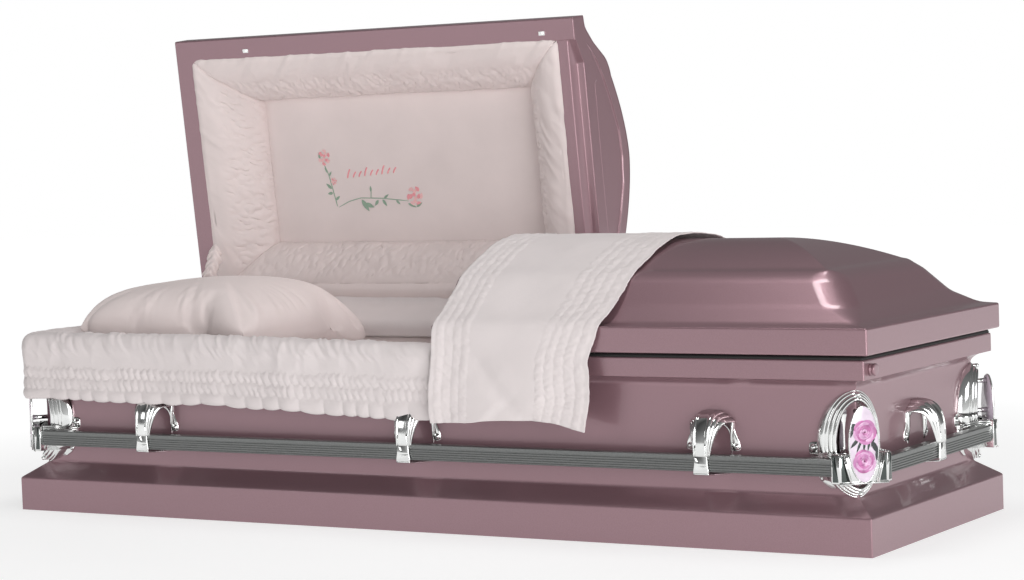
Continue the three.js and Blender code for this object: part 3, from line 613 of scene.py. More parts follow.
def head_end_plate():
    """Split end of the head lid: inner flange, long rebate and the face with its pressed panel."""
    edge = bpy.context.scene.casket_sizes.edge_radius
    groove, slope, rise, recess, flange = 0.2885, 0.056, 0.033, 0.019, 0.049
    half = np.concatenate([
        [LID_Y, LID_Y - 0.0012, LID_Y - 0.004], np.linspace(LID_Y - 0.008, 0.292, 14),
        [0.2896, 0.2892, 0.2886, 0.2884], np.linspace(0.287, groove - slope, 16),
        np.linspace(groove - slope - 0.002, 0, 84)])
    y = np.concatenate([-half, half[-2::-1]])
    away = np.abs(y)
    open_ = away < groove
    low = np.where(open_, 0.006 + (rise - 0.006) * np.clip((groove - away) / slope, 0, 1), 0.0)
    deep = np.where(open_, recess, 0.0)
    bend = np.where(open_, np.minimum(edge, low * 0.45), edge)
    lip = np.where(away < 0.2894, flange, 0.0018)
    level = [(lip, 0.0045 + 0 * y), (lip, 0.0006 + 0 * y), (np.maximum(lip - 0.0015, deep + 0.0001), 0 * y),
             (np.maximum(deep + bend, 0.0008), 0 * y), (deep + bend * 0.3, bend * 0.3), (deep, bend)]
    closed = [(0 * y, bend * k) for k in (1.2, 1.4, 1.6, 1.8, 2.0)]
    stepped = [(deep, low - bend), (deep - bend, low), (bend, low), (bend * 0.3, low + bend * 0.3),
        (0 * y, low + bend)]
    level += [(np.where(open_, a[0], b[0]), np.where(open_, a[1], b[1])) for a, b in zip(stepped, closed)]
    top = lid_height(y)
    base = level[-1][1]
    s = LID_Y - away
    upper, lower = leaf_line(s)
    for share in np.concatenate([np.linspace(0.006, 0.985, 170), [0.993, 1.0]]):
        z = base + share * (top - base)
        shown = ease(s, 0.062, 0.075)
        inside = ease(upper - z, -0.001, 0.0035) * ease(z - lower, -0.001, 0.0035) * ease(s, 0.06, 0.09)
        ridge = np.exp(-((z - upper) / 0.0019) ** 2) * shown
        ridge = ridge + np.exp(-((z - lower) / 0.0017) ** 2) * ease(s, 0.146, 0.153)
        depth = 0.0026 * inside - 0.0012 * ridge + 0.0012
        depth = depth + (0.002 if share == 1.0 else 0.0006 if share > 0.99 else 0.0)
        level.append((depth, z * (1 - 0.0012 / np.maximum(top, 0.01) * share)))
    grid = np.array([np.column_stack([HEAD_FACE - d, y, LID_Z + z]) for d, z in level])
    grid[:, [0, -1], 0] = np.minimum(grid[:, [0, -1], 0], HEAD_FACE - 0.002)
    grid[:, [1, -2], 0] = np.minimum(grid[:, [1, -2], 0], HEAD_FACE - 0.0006)
    return thick(grid[:, ::-1], SHEET)


def band(section, radius):
    """Closed part from a section of offsets and heights that is carried round the walls."""
    rings = []
    for offset, height in section:
        loop = ring(WALL_X + offset, WALL_Y + offset, radius)
        rings.append(np.column_stack([loop, np.full(len(loop), height)]))
    return net(np.array(rings), wrap_rows=True, wrap_columns=True)


def steel_body():
    """Sheet steel walls from floor to rim."""
    line = body_line()
    inner = line - left_normals(line) * SHEET
    shell = band(np.vstack([line, inner[::-1]]), bpy.context.scene.casket_sizes.edge_radius)
    panels = ("front_side_panel", "rear_side_panel", "foot_end_panel", "head_end_panel")
    piece("body_shell", [(shell, 0)], [enamel_paint()], "casket", panels, crisp=True)


def rim_seal():
    """Rubber seal that stands on the rim."""
    line = [(0.0314, 0.3734), (0.0322, 0.3770), (0.0300, 0.3808), (0.0262, 0.3814), (0.0228, 0.3790),
        (0.0224, 0.3734)]
    piece("rim_seal", [(band(line, 0.004), 0)], [seal_rubber()], "casket", ("rim_gasket",))


def lock_knob():
    """Grooved plug over the lock at the foot end."""
    profile = [(0.0100, 0.0), (0.0118, 0.0005), (0.0120, 0.0045), (0.0112, 0.0052), (0.0102, 0.0056),
               (0.0102, 0.0068), (0.0112, 0.0072), (0.0120, 0.0080), (0.0120, 0.0118), (0.0112, 0.0128),
               (0.0085, 0.0130)]
    low, high = (Vector(c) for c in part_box("lock_plug"))
    centre = (low + high) / 2
    matrix = axes((0, 1, 0), (0, 0, 1), (1, 0, 0), (low.x, centre.y, centre.z))
    piece("lock_knob", [(moved(lathe(profile, 32), matrix), 0)], [enamel_paint()], "casket",
        ("lock_plug",))


def lids():
    """Both lids, the head lid swung open with its split end."""
    swing = lid_swing()
    paint = enamel_paint()
    head = moved(lid_half(HEAD_FACE, -1), swing)
    piece("head_lid_form", [(head, 0)], [paint], "head_lid", ("head_lid_shell",), crisp=True)
    end = moved(head_end_plate(), swing)
    piece("head_lid_end", [(end, 0)], [paint], "head_lid", ("head_lid_header",))
    foot = lid_half(FOOT_FACE, 1)
    piece("foot_lid_form", [(foot, 0)], [paint], "foot_lid", ("foot_lid_shell",), crisp=True)


# Plated handles


def screw(radius=0.0045, height=0.0035):
    """Domed screw head on a thin washer."""
    profile = [(radius * 1.5, 0), (radius * 1.5, 0.0006), (radius, 0.001), (radius * 0.95, height * 0.6),
               (radius * 0.7, height * 0.92), (radius * 0.3, height)]
    return lathe(profile, 16)


def handle_bar(half_run, name, turn, half_across):
    """Fluted bar along one side, turned into place from the front."""
    deep = 0.022
    face = []
    for middle in np.linspace(0.1568, 0.1760, 5):
        face += [(0.055, middle - 0.0015), (0.0528, middle - 0.0008), (0.0528, middle + 0.0008),
            (0.055, middle + 0.0015)]
    outline = [(0.055 - deep, BAR_LOW), (0.0535, BAR_LOW), (0.055, BAR_LOW + 0.0015)] + face
    outline += [(0.055, BAR_HIGH - 0.0015), (0.0535, BAR_HIGH), (0.055 - deep, BAR_HIGH)]
    end = half_run - 0.0263
    columns = np.array([[(x, -(half_across + o), z) for o, z in outline] for x in (-end, end)])
    part = moved(capped(columns), Matrix.Rotation(turn, 4, "Z"))
    piece(name + "_fluted", [(part, 0)], [bar_metal()], "casket", (name,), crisp=True)


def arm_hood():
    """Hood of a handle arm: a smooth face that turns back to the wall between two fans of ridges."""
    turns = np.radians(np.linspace(90, 0, 34))
    arch = [(0.0004 + 0.058 * math.cos(t) ** 0.66, 0.190 + 0.0765 * math.sin(t) ** 0.70) for t in turns]
    line, _ = resampled(np.array(arch + [(0.0584, 0.187), (0.0584, 0.183)]), 0.0035)
    outward = left_normals(line)
    up = np.linspace(1, 0, len(line))
    face = 0.0138 - 0.0020 * up
    width = 0.0170 + 0.0320 * up ** 1.15
    depth = 0.0055 + 0.0165 * up ** 0.8
    across = [(k * face, 0.0006 * (1 - k * k) + 0 * face) for k in np.linspace(-1, 1, 7)]
    fans = []
    for q in np.linspace(0, 1, 31)[1:]:
        scallop = abs(math.sin(3 * math.pi * q)) ** 0.7
        x = face + (width - face) * (q + 0.03 * scallop)
        drop = -depth * q ** 1.25 + (0.0012 + 0.0014 * up) * scallop
        fans.append((x, drop))
    columns = [(-x, drop) for x, drop in reversed(fans)] + across + fans
    grid = np.array([
        np.column_stack([x, -(line[:, 0] + outward[:, 0] * lift), line[:, 1] + outward[:, 1] * lift])
        for x, lift in columns]).transpose(1, 0, 2)
    grid[..., 1] = np.minimum(grid[..., 1], -0.0006)
    return thick(grid[:, ::-1], 0.0016)


def rib(path, widths, heights):
    """Roof-shaped rib along a path on the wall; X across, Z up and -Y out of the wall."""
    path = np.asarray(path, float)
    side = left_normals(path)
    rows = []
    for share, height in ((-1, 0), (-0.55, 0.62), (0, 1), (0.55, 0.62), (1, 0)):
        edge = path + side * (np.asarray(widths) * share)[:, None]
        rows.append(np.column_stack([edge[:, 0], -0.0004 - np.asarray(heights) * height, edge[:, 1]]))
    return net(np.array(rows))


def arm_foot():
    """Plate of the arm on the wall: shoulders above, a screwed ear at each side and an open middle."""
    outer = rounded([
        (0.0, 0.2590), (0.030, 0.2560), (0.0450, 0.2440), (0.0490, 0.2260), (0.0590, 0.2060),
        (0.0600, 0.1900), (0.0500, 0.1880), (0.0430, 0.1900)], [0.012, 0.009, 0.014, 0.010, 0.007, 0.006], 4)
    inner = rounded([
        (0.0, 0.2440), (0.0240, 0.2410), (0.0365, 0.2280), (0.0385, 0.1900)], [0.012, 0.010], 8)
    inner, _ = resampled(inner, 0.0022)
    at = np.linspace(0, 1, len(inner))
    runs = np.linspace(0, 1, len(outer))
    outer = np.stack([np.interp(at, runs, outer[:, k]) for k in range(2)], 1)
    inset = outer + (inner - outer) * 0.12
    lift = [(outer, 0.0004), (outer, 0.0024), (inset, 0.0034), (inner + (outer - inner) * 0.1, 0.0034),
            (inner, 0.0026), (inner, 0.0004)]
    rows = np.array([[(x, -o, z) for x, z in line] for line, o in lift])
    parts = []
    for side in (1, -1):
        points, faces = net(rows, wrap_rows=True)
        count = rows.shape[1]
        faces.append([k * count for k in range(len(lift))])
        faces.append([k * count + count - 1 for k in range(len(lift))][::-1])
        parts.append(moved((points, faces), axes((side, 0, 0), (0, 1, 0), (0, 0, 1))))
    return parts


def arm_parts():
    """A whole handle arm about the middle of the front wall plane."""
    parts = [arm_hood()] + arm_foot()
    for side in (-1, 1):
        head = moved(screw(), axes((1, 0, 0), (0, 0, 1), (0, -1, 0), (side * 0.0505, -0.0032, 0.1975)))
        course = [(0.0445, 0.2500), (0.0440, 0.2360), (0.0425, 0.2140), (0.0405, 0.1840)]
        lobe = rib(
            [(side * x, z) for x, z in course], [0.0030, 0.0042, 0.0036, 0.0008],
            [0.0060, 0.0095, 0.0080, 0.0030])
        parts += [head, lobe]
    front = axes((1, 0, 0), (0, 0, 1), (0, -1, 0))
    strap = rounded([
        (-0.0135, 0.1875), (0.0135, 0.1875), (0.0150, 0.1660), (0.0170, 0.1545), (0.0170, 0.1490),
        (-0.0170, 0.1490), (-0.0170, 0.1545), (-0.0150, 0.1660), (-0.0135, 0.1875), (0.0135, 0.1875)],
        0.0012, 2)[1:-1]
    parts.append(moved(prism(strap, 0.0553, 0.0598, 0.0009), front))
    lip = [(0.0585, 0.1505, 0.0168), (0.0575, 0.1489, 0.0171), (0.0450, 0.1478, 0.0190),
           (0.0300, 0.1466, 0.0235), (0.0150, 0.1458, 0.0295), (0.0050, 0.1462, 0.0350),
           (0.0010, 0.1475, 0.0360)]
    rows = np.array([[(half * k, -o, z) for k in np.linspace(-1, 1, 7)] for o, z, half in lip])
    parts.append(thick(rows, -0.0026))
    return parts


def handle_arms():
    """The eight arms."""
    chrome = plating()
    parts = arm_parts()
    spots = []
    for place, x in ARM_PLACES.items():
        spots += [(f"front_arm_{place}", x, -WALL_Y, 0), (f"rear_arm_{place}", x, WALL_Y, math.pi)]
    spots += [("foot_arm", WALL_X, -0.010, math.pi / 2), ("head_arm", -WALL_X, -0.010, -math.pi / 2)]
    for name, x, y, turn in spots:
        matrix = Matrix.Translation((x, y, 0)) @ Matrix.Rotation(turn, 4, "Z")
        shaped = [(moved(part, matrix), 0) for part in parts]
        piece(name + "_cast", shaped, [chrome], "casket", (name,))


# Corner castings, drawn about the wall's corner edge: X along the oval, -Y out on the diagonal


def casting_oval():
    """Domed and stepped oval shell bent round the corner, open in the middle and ending on the two walls."""
    half_width, half_height, bend, blunt, swell = 0.0575, 0.1028, 0.60, 0.010, 0.0050
    angle = np.linspace(0, 2 * np.pi, 97)
    point = 1 - 0.07 * np.abs(np.sin(angle)) ** 10

    def loop(inset, bulge=0.0):
        a = (half_width - inset + bulge * np.abs(np.cos(angle))) * np.cos(angle) * point
        b = (half_height - inset) * np.sin(angle)
        return a, b, bend * (np.sqrt(a * a + blunt ** 2) - blunt)

    rows = []
    for share in (0.0, 0.04, 0.12, 0.25, 0.4, 0.55, 0.7, 0.82, 0.91, 0.97):
        a, b, back = loop(0.0, swell * math.sin(math.pi * share) ** 0.8)
        depth = (np.abs(a) + 0.0003) * (1 - share) + (back - 0.0008) * share
        rows.append(np.stack([a, depth, CASTING_Z + b], -1))
    steps = [(0.0006, 0.0004), (0.0014, 0.0000), (0.0020, 0.0022), (0.0036, 0.0046), (0.0054, 0.0052),
             (0.0064, 0.0044), (0.0068, 0.0054), (0.0074, 0.0086), (0.0090, 0.0110), (0.0108, 0.0114),
             (0.0118, 0.0104), (0.0122, 0.0112), (0.0130, 0.0138), (0.0146, 0.0156), (0.0166, 0.0158),
             (0.0182, 0.0142), (0.0190, 0.0110), (0.0196, 0.0040), (0.0220, -0.0060), (0.0270, -0.0120),
             (0.0340, -0.0150)]
    for inset, out in steps:
        a, b, back = loop(inset)
        rows.append(np.stack([a, np.minimum(back - out, np.abs(a) + 0.0003), CASTING_Z + b], -1))
    return thick(np.array(rows), 0.0007)


def socket_box():
    """Box that holds the two bar ends, with a face across the diagonal."""
    plan = rounded([
        (-0.020, -0.031), (-0.0275, -0.031), (-0.0275, -0.0595), (-0.010, -0.0595), (0.0595, 0.010),
        (0.0595, 0.0275), (0.031, 0.0275), (0.031, 0.020), (0.020, -0.006), (0.006, -0.020),
        (-0.020, -0.031)], 0.0016, 3)[1:-1]
    return prism(plan, BAR_LOW - 0.0135, BAR_HIGH + 0.0100, 0.0014)


def facet(corners):
    """Thin flat plate with four rounded corners."""
    outline = rounded(list(corners) + [corners[0], corners[1]], 0.0012, 3)[1:-1]
    return prism(outline, -0.0008, 0.0004, 0.0003)


def casting_parts():
    """Parts of a casting about the front foot corner edge, with 0 for plating and 1 for shaded plating."""
    parts = []

    def add(part, matrix, look=0):
        parts.append((moved(part, matrix), look))

    turn = Matrix.Rotation(math.pi / 4, 4, "Z")
    low, high = BAR_LOW - 0.0095, BAR_HIGH + 0.0065
    root = math.sqrt(0.5)
    front = axes((1, 0, 0), (0, 0, 1), (0, -1, 0), (0, -0.0595, 0))
    end = axes((0, 1, 0), (0, 0, 1), (1, 0, 0), (0.0595, 0, 0))
    slant = axes((root, root, 0), (0, 0, 1), (root, -root, 0), (0.02475, -0.02475, 0))
    add(casting_oval(), turn)
    add(socket_box(), Matrix.Identity(4))
    add(facet([(-0.0248, low), (-0.0128, low), (-0.0185, high), (-0.0248, high)]), front, 1)
    add(facet([(0.0128, low), (0.0248, low), (0.0248, high), (0.0185, high)]), end, 1)
    for side in (-1, 1):
        corners = [(side * 0.0455, low), (side * 0.0285, low), (side * 0.0405, high), (side * 0.0455, high)]
        add(facet(corners[::side]), slant, 1)
        for shift in (0.0, 0.0105):
            foot = (side * (0.0265 + shift * 0.1), -0.0362 - shift * 0.35, low - 0.003)
            head = (side * (0.0385 + shift * 0.4), -0.0362 - shift * 0.1, high + 0.003)
            add(tube([foot, head], 0.0018, 8), turn)
    sill = [(-0.050, -0.0372), (0.050, -0.0372), (0.050, -0.0340), (-0.050, -0.0340)]
    add(prism(sill, BAR_LOW - 0.0150, BAR_LOW - 0.0118, 0.0006), turn)
    for top in (0.3065, 0.1160):
        add(tube([(0, -0.002, top), (0, -0.014, top)], 0.0042, 14), turn)
        ball = [(0.0012, -0.0042), (0.0034, -0.003), (0.0045, 0), (0.0034, 0.003), (0.0012, 0.0042)]
        add(lathe(ball, 14), turn @ Matrix.Translation((0, -0.0150, top)))
    rows = []
    for angle in np.linspace(0, 2 * np.pi, 40, endpoint=False):
        x, z = 0.0290 * math.cos(angle), CASTING_Z + 0.0820 * math.sin(angle)
        rows.append([(k * x, min(abs(k * x), 0.0165) - 0.0006, z) for k in (0.0, 0.3, 0.6, 1.0)])
    add(net(np.array(rows), wrap_rows=True), turn)
    for z in (0.2120, 0.2740):
        add(tube([(0, 0.002, z), (0, -0.020, z), (0, -0.0355, z)], [0.005, 0.0045, 0.006], 12), turn)
    plate = rounded([
        (0.040, 0.2300), (0.0700, 0.2250), (0.0740, 0.2130), (0.0860, 0.2135), (0.0990, 0.2120),
        (0.1000, 0.1900), (0.0900, 0.1850), (0.0850, 0.1560), (0.0760, 0.1360), (0.0500, 0.1190),
        (0.0300, 0.1300)], [0.006, 0.004, 0.004, 0.008, 0.009, 0.004, 0.02, 0.02, 0.012], 4)
    block = rounded([(0.0660, 0.2250), (0.0760, 0.2240), (0.0770, 0.2400), (0.0700, 0.2450),
                    (0.0640, 0.2440)], [0.002, 0.003, 0.003], 3)
    web = [[(0.0920, 0.187, 0.003), (0.0720, 0.188, 0.010), (0.050, 0.192, 0.027), (0.029, 0.1925, 0.050)],
           [(0.0860, 0.160, 0.003), (0.0700, 0.160, 0.006), (0.050, 0.160, 0.012), (0.029, 0.160, 0.030)],
           [(0.0740, 0.142, 0.003), (0.0640, 0.140, 0.008), (0.050, 0.139, 0.018), (0.029, 0.139, 0.042)]]
    for wall in (axes((-1, 0, 0), (0, 0, 1), (0, -1, 0)), axes((0, 1, 0), (0, 0, 1), (1, 0, 0))):
        add(prism(plate, 0.0004, 0.0036, 0.0012), wall)
        add(screw(0.0052, 0.0040), wall @ Matrix.Translation((0.0900, 0.2010, 0.0034)))
        add(screw(0.0036), wall @ Matrix.Translation((0.0720, 0.1420, 0.0034)))
        add(prism(block, 0.0004, 0.0060, 0.0014), wall)
        for shift in (0.0, 0.0045):
            path = [(0.0950, 0.1885 - shift, 0.0045), (0.0720, 0.1900 - shift, 0.012),
                    (0.0500, 0.1945 - shift, 0.028), (0.0300, 0.1950 - shift, 0.052)]
            add(tube(path, [0.0016, 0.0021, 0.0024, 0.0024], 8), wall)
        add(thick(np.array(web), 0.002), wall)
    return parts


def corner_castings():
    """The four castings."""
    parts = casting_parts()
    looks = [plating(), dark_plating()]
    for place, (sx, sy) in CORNERS.items():
        matrix = Matrix.Diagonal((sx, sy, 1, 1)) @ Matrix.Translation((WALL_X, -WALL_Y, 0))
        shaped = [(moved(part, matrix), look) for part, look in parts]
        piece(f"casting_{place}_cast", shaped, looks, "casket", (f"casting_{place}",))


# Medallions: an oval plate with a bright edge and two roses in low relief


def petal(centre, radius, start, sweep, width, level, lean=0.0):
    """Crescent petal about a rose's centre, in the medallion's plane."""
    angle = np.radians(np.linspace(start, start + sweep, 15))
    share = np.linspace(0, 1, 15)
    swell = np.sin(np.pi * share) ** 0.6
    rows = []
    for k, side in enumerate(np.linspace(-0.5, 0.5, 6)):
        r = radius * (1 + lean * np.sin(2 * angle)) + side * width * swell
        lift = level + 0.00035 * (1 - (2 * side) ** 2) * swell + (0.00015 if k >= 3 else 0)
        rows.append(np.stack([centre[0] + r * np.cos(angle), centre[1] + r * np.sin(angle), lift], -1))
    return net(np.array(rows))


def rose(centre, size, seed):
    """Rings of petals, light and dark by turns."""
    parts = []
    rings = [(0.92, 0.30, 5, 2), (0.72, 0.28, 5, 1), (0.52, 0.26, 4, 0), (0.34, 0.22, 3, 1),
        (0.17, 0.20, 2, 0)]
    disc = lathe([(size * 0.98, 0.00002), (size * 0.94, 0.0002), (size * 0.5, 0.0003),
        (size * 0.02, 0.00032)], 28)
    parts.append((moved(disc, Matrix.Translation((centre[0], centre[1], 0))), 3))
    for k, (share, width, count, look) in enumerate(rings):
        for n in range(count):
            start = 360 * n / count + 37 * k + seed
            sweep = 360 / count * 1.25
            lean = 0.05 * math.sin(seed + n)
            level = 0.0003 + 0.00018 * k + 0.00004 * (n % 2)
            parts.append((petal(centre, size * share, start, sweep, size * width, level, lean),
                (look + n) % 3))
    return parts


def leaf(base, tip, width, level=0.0002):
    """Pointed leaf with a raised midrib."""
    base, tip = np.array(base, float), np.array(tip, float)
    along = tip - base
    side = np.array([-along[1], along[0]]) / np.linalg.norm(along)
    share = np.linspace(0, 1, 9)
    swell = np.sin(np.pi * share ** 0.8)
    rows = []
    for offset in (-1, -0.5, 0, 0.5, 1):
        middle = base + along * share[:, None] + side * (offset * width / 2 * swell)[:, None]
        rows.append(np.column_stack([middle, level + 0.0002 * (1 - abs(offset)) * swell]))
    return net(np.array(rows))


def medallion_parts():
    """Plate, edge and picture in the plane of the oval, facing +Z, with X across and Y up."""
    angle = np.linspace(0, 2 * np.pi, 64, endpoint=False)
    ca, sa = np.cos(angle), np.sin(angle)
    plate = [(0.0294, 0.0), (0.0296, 0.0026), (0.0288, 0.0030), (0.016, 0.0034), (0.0003, 0.0035)]
    rows = np.array([
        np.stack([r * ca, (r + 0.0435 * r / 0.0296) * sa, np.full(64, h)], -1) for r, h in plate])
    points, faces = net(rows, wrap_columns=True)
    parts = [((points, faces + [list(range(64))[::-1]]), 4)]
    edge = [(0.0302, 0.0), (0.0308, 0.0014), (0.0306, 0.0034), (0.0297, 0.0044), (0.0287, 0.0038),
        (0.0285, 0.0026)]
    rows = np.array([np.stack([r * ca, (r + 0.0435) * sa, np.full(64, h)], -1) for r, h in edge])
    parts.append((net(rows, wrap_rows=True, wrap_columns=True), 5))
    picture = []
    for base, tip, width in (
            [(-0.016, 0.040), (-0.028, 0.030), 0.010], [(-0.010, 0.012), (-0.0275, -0.006), 0.007],
            [(-0.004, 0.010), (-0.016, -0.016), 0.005], [(0.002, 0.008), (-0.001, -0.014), 0.005],
            [(0.012, 0.010), (0.007, -0.014), 0.005], [(0.016, 0.006), (0.029, -0.020), 0.010],
            [(0.022, 0.020), (0.014, -0.006), 0.006], [(0.026, -0.010), (0.0265, -0.036), 0.008],
            [(-0.020, 0.034), (-0.027, 0.014), 0.006], [(0.020, 0.030), (0.0285, 0.018), 0.006]):
        picture.append((leaf(base, tip, width), 6))
    picture += rose((0.002, 0.0235), 0.0225, 15)
    picture += rose((0.000, -0.0320), 0.0215, 140)
    lift = Matrix.Translation((0, 0, 0.0036))
    fitted = []
    for (points, faces), look in picture:
        points = np.array(points)
        inside = (points[:, 0] / 0.0283) ** 2 + (points[:, 1] / 0.0715) ** 2
        scale = np.where(inside > 1, 1 / np.sqrt(np.maximum(inside, 1e-9)), 1.0)
        points[:, :2] *= scale[:, None]
        fitted.append((moved((points, faces), lift), look))
    return parts + fitted


def medallions():
    """The four medallions."""
    colours = bpy.context.scene.casket_colours
    looks = [
        print_gloss("rose_mid", colours.petal, 0.3), print_gloss("rose_light", (0.62, 0.33, 0.54), 0.2),
        print_gloss("rose_pale", (0.50, 0.19, 0.40), 0.25), print_gloss("rose_deep", (0.17, 0.02, 0.10), 0.3),
        print_gloss("lilac_ground", colours.ground, 0.08), plating(),
        print_gloss("leaf_dark", (0.012, 0.02, 0.022), 0.4)]
    root = math.sqrt(0.5)
    out = 0.0355
    parts = medallion_parts()
    for place, (sx, sy) in CORNERS.items():
        corner = Vector((sx * WALL_X, -sy * WALL_Y, 0.2135))
        outward = Vector((sx * root, -sy * root, 0))
        across = Vector((0, 0, 1)).cross(outward)
        matrix = axes(across, (0, 0, 1), outward, corner + outward * out)
        shaped = [(moved(part, matrix), look) for part, look in parts]
        piece(f"medallion_{place}_oval", shaped, looks, "casket", (f"medallion_{place}",))


# Crepe


def puffs(u, v, rows, pitch, seed, waver=0.004):
    """Height from -1 to 1 of puffs between scalloped stitch rows, gathered along u with a pitch."""
    u, v = np.broadcast_arrays(u, v)
    height = np.zeros(u.shape)
    run = u / pitch + 0.35 * ripple(u / (pitch * 2.2), 0, seed + 9)
    lines = []
    for k, row in enumerate(sorted(rows)):
        scallop = np.abs(np.sin(np.pi * (run + 0.5 * k))) ** 0.8
        lines.append(row + waver * (1.5 * scallop - 0.9 + 0.5 * ripple(u / (pitch * 1.6), 5.0 * k, seed + k)))
    for k in range(len(lines) - 1):
        t = (v - lines[k]) / np.maximum(lines[k + 1] - lines[k], 0.002)
        crown = np.where((t > 0) & (t < 1), np.sin(np.pi * np.clip(t, 0, 1)) ** 0.7, 0)
        lean = 0.5 * k + 0.5 * t + 0.25 * ripple(u / (pitch * 2), v / 0.02, seed + 4)
        gather = np.abs(np.sin(np.pi * (run + lean))) ** 0.8
        size = 0.75 + 0.45 * ripple(u / (pitch * 1.7), 9.0 * k, seed + 21)
        height += crown * (0.25 + 0.85 * gather * size)
    for line in lines:
        height -= 0.35 * np.exp(-(((v - line) / 0.0018) ** 2))
    return height


def shirring(u, v, pitch, seed):
    """Short wavering wrinkles across a roll, in loose columns."""
    sway = 0.0055 * ripple(v / 0.011, u / 0.060, seed) + 0.25 * v
    fine = ripple((u + sway) / (pitch * 0.5), v / 0.016, seed + 2)
    broad = ripple((u - sway) / pitch, v / 0.022, seed + 3)
    return 0.65 * fine + 0.55 * broad


def folds(u, v, pitch, length, slant, seed):
    """Soft folds that run across u, longer than they are wide and leaning by a slant."""
    lean = u + slant * v
    first = ripple(lean / pitch, v / length, seed)
    second = ripple(lean / (pitch * 0.47) + 7, v / (length * 0.6), seed + 3)
    return 0.65 * first + 0.35 * second


def creases(u, v, pitch, length, slant, seed):
    """Sharper folds with narrow crests, leaning by a slant."""
    lean = u + slant * v
    first = 1 - 2 * np.abs(ripple(lean / pitch, v / length, seed)) ** 0.8
    return first * np.clip(0.6 + ripple(lean / (pitch * 4), v / (length * 1.5), seed + 5), 0, 1.3)


def skirt_grid():
    """Skirt folded out over the rim, from the split round the head corner and along the head end."""
    sizes = bpy.context.scene.casket_sizes
    hem = sizes.skirt_drop
    reaches = [0.012, 0.014, 0.014, 0.018, 0.016, 0.02, 0.02, 0.007, 0.004, 0.007]
    line = rounded([
        (-0.0326, 0.352), (-0.0330, 0.388), (-0.0160, 0.4045), (0.0120, 0.4085), (0.0400, 0.4050),
        (0.0520, 0.3800), (0.0490, 0.335), (0.0470, 0.300), (0.0500, hem + 0.012), (0.0445, hem),
        (0.0390, hem + 0.012), (0.0400, 0.300)], reaches, 5)
    line, v = resampled(line, 0.0030)
    normal = left_normals(line)
    front_steps, turn_steps, end_steps = 370, 16, 150
    rows = []
    for o, z in line:
        radius = 0.010 + 0.30 * (o + 0.034)
        o_head = o * 0.84 if o > 0 else o
        cx, cy = -(WALL_X + o_head) + radius, -(WALL_Y + o) + radius
        xs = np.linspace(0.0940, cx, front_steps)
        first = np.column_stack([xs, np.full(front_steps, cy - radius), np.zeros(front_steps),
            -np.ones(front_steps)])
        turn = np.radians(np.linspace(270, 180, turn_steps + 2))[1:-1]
        bend = np.column_stack([cx + radius * np.cos(turn), cy + radius * np.sin(turn), np.cos(turn),
            np.sin(turn)])
        ys = np.linspace(cy, 0.205, end_steps)
        last = np.column_stack([np.full(end_steps, cx - radius), ys, -np.ones(end_steps),
            np.zeros(end_steps)])
        path = np.vstack([first, bend, last])
        rows.append(np.column_stack([path, np.full(len(path), z)]))
    rows = np.array(rows)
    plan = rows[np.argmax(line[:, 0])][:, :2]
    along = np.concatenate([[0], np.cumsum(np.linalg.norm(np.diff(plan, axis=0), axis=1))])
    u = np.broadcast_to(along, rows.shape[:2])
    depth = np.broadcast_to(v[:, None], u.shape)
    z = rows[..., 4]
    outer = np.arange(len(line)) > np.argmax(line[:, 1])
    back = np.arange(len(line)) > np.argmin(np.where(outer, line[:, 1], 1))
    face = (ease(line[:, 0], 0.030, 0.046) * outer)[:, None]
    front_edge = v[np.argmax((line[:, 0] > 0.050) & outer)]
    roll = (ease(v, 0.025, 0.050) * ease(front_edge + 0.026 - v, 0, 0.022))[:, None]
    hem_near = ease(-z, -(hem + 0.05), -hem)
    diagonal = creases(u, depth, 0.0165, 0.090, 0.9, 11) + 0.6 * folds(u, depth, 0.011, 0.06, 0.7, 13)
    broad = folds(u, depth, 0.085, 0.20, 0.25, 23)
    upright = creases(u, depth, 0.040, 0.15, -0.15, 31) * 0.55 + folds(u, depth, 0.026, 0.09, 0.4, 37) * 0.6
    stitch = [front_edge + below for below in (0.047, 0.071, 0.096)]
    puffed = puffs(u, depth, stitch, 0.0190, 41, 0.0062)
    below = ease(depth, stitch[-1], stitch[-1] + 0.01) * ease(-z, -0.30, -0.27)
    hanging = np.abs(np.sin(np.pi * (u / 0.052 + 0.7 * ripple(u / 0.13, 0, 47)))) ** 0.7
    middle = ease(stitch[0] - depth, 0.0, 0.02) * face
    lift = (
        sizes.fold_depth * (1.10 * diagonal * roll + 1.6 * broad * (0.3 + face) + 1.6 * upright * middle)
        + sizes.puff_depth * 1.20 * puffed * face
        + 0.0042 * (hanging - 0.4) * below * face
        + 0.002 * hem_near * ripple(u / 0.07, 0, 51))
    ends = 0.3 + 0.7 * ease(u, 0.0, 0.02) * ease(along[-1] - u, 0.0, 0.02)
    lift = np.where(back[:, None], np.minimum(lift, 0.001), lift) * ends
    x, y = rows[..., 0], rows[..., 1]
    tuck = -0.014 * ease(0.020 - u, 0, 0.020) * face
    reach = lift * np.abs(normal[:, 0:1]) + tuck
    shift_x, shift_y = rows[..., 2] * reach, rows[..., 3] * reach
    fall = np.interp(u, [0, 0.17, 0.34, 0.63, 0.9, 1.2], [-0.0185, -0.016, -0.0085, 0.001, 0.003, 0.002])
    sink = np.interp(u, [0, 0.17, 0.6, 1.1], [-0.0145, -0.012, -0.003, 0.0])
    sag = 0.0030 * ripple(u / 0.10, 0, 61) + 0.0042 * (0.5 - hanging)
    z = z + lift * np.clip(normal[:, 1:2], 0, 1) + hem_near * (sag + fall)
    share = ease(z, 0.262, 0.300) * ease(0.345 - z, -0.05, 0.08)
    z = z + fall * 0.45 * share * (1 - hem_near) * face + sink * ease(z, 0.352, 0.400)
    return np.stack([x + shift_x, y + shift_y, z], -1)


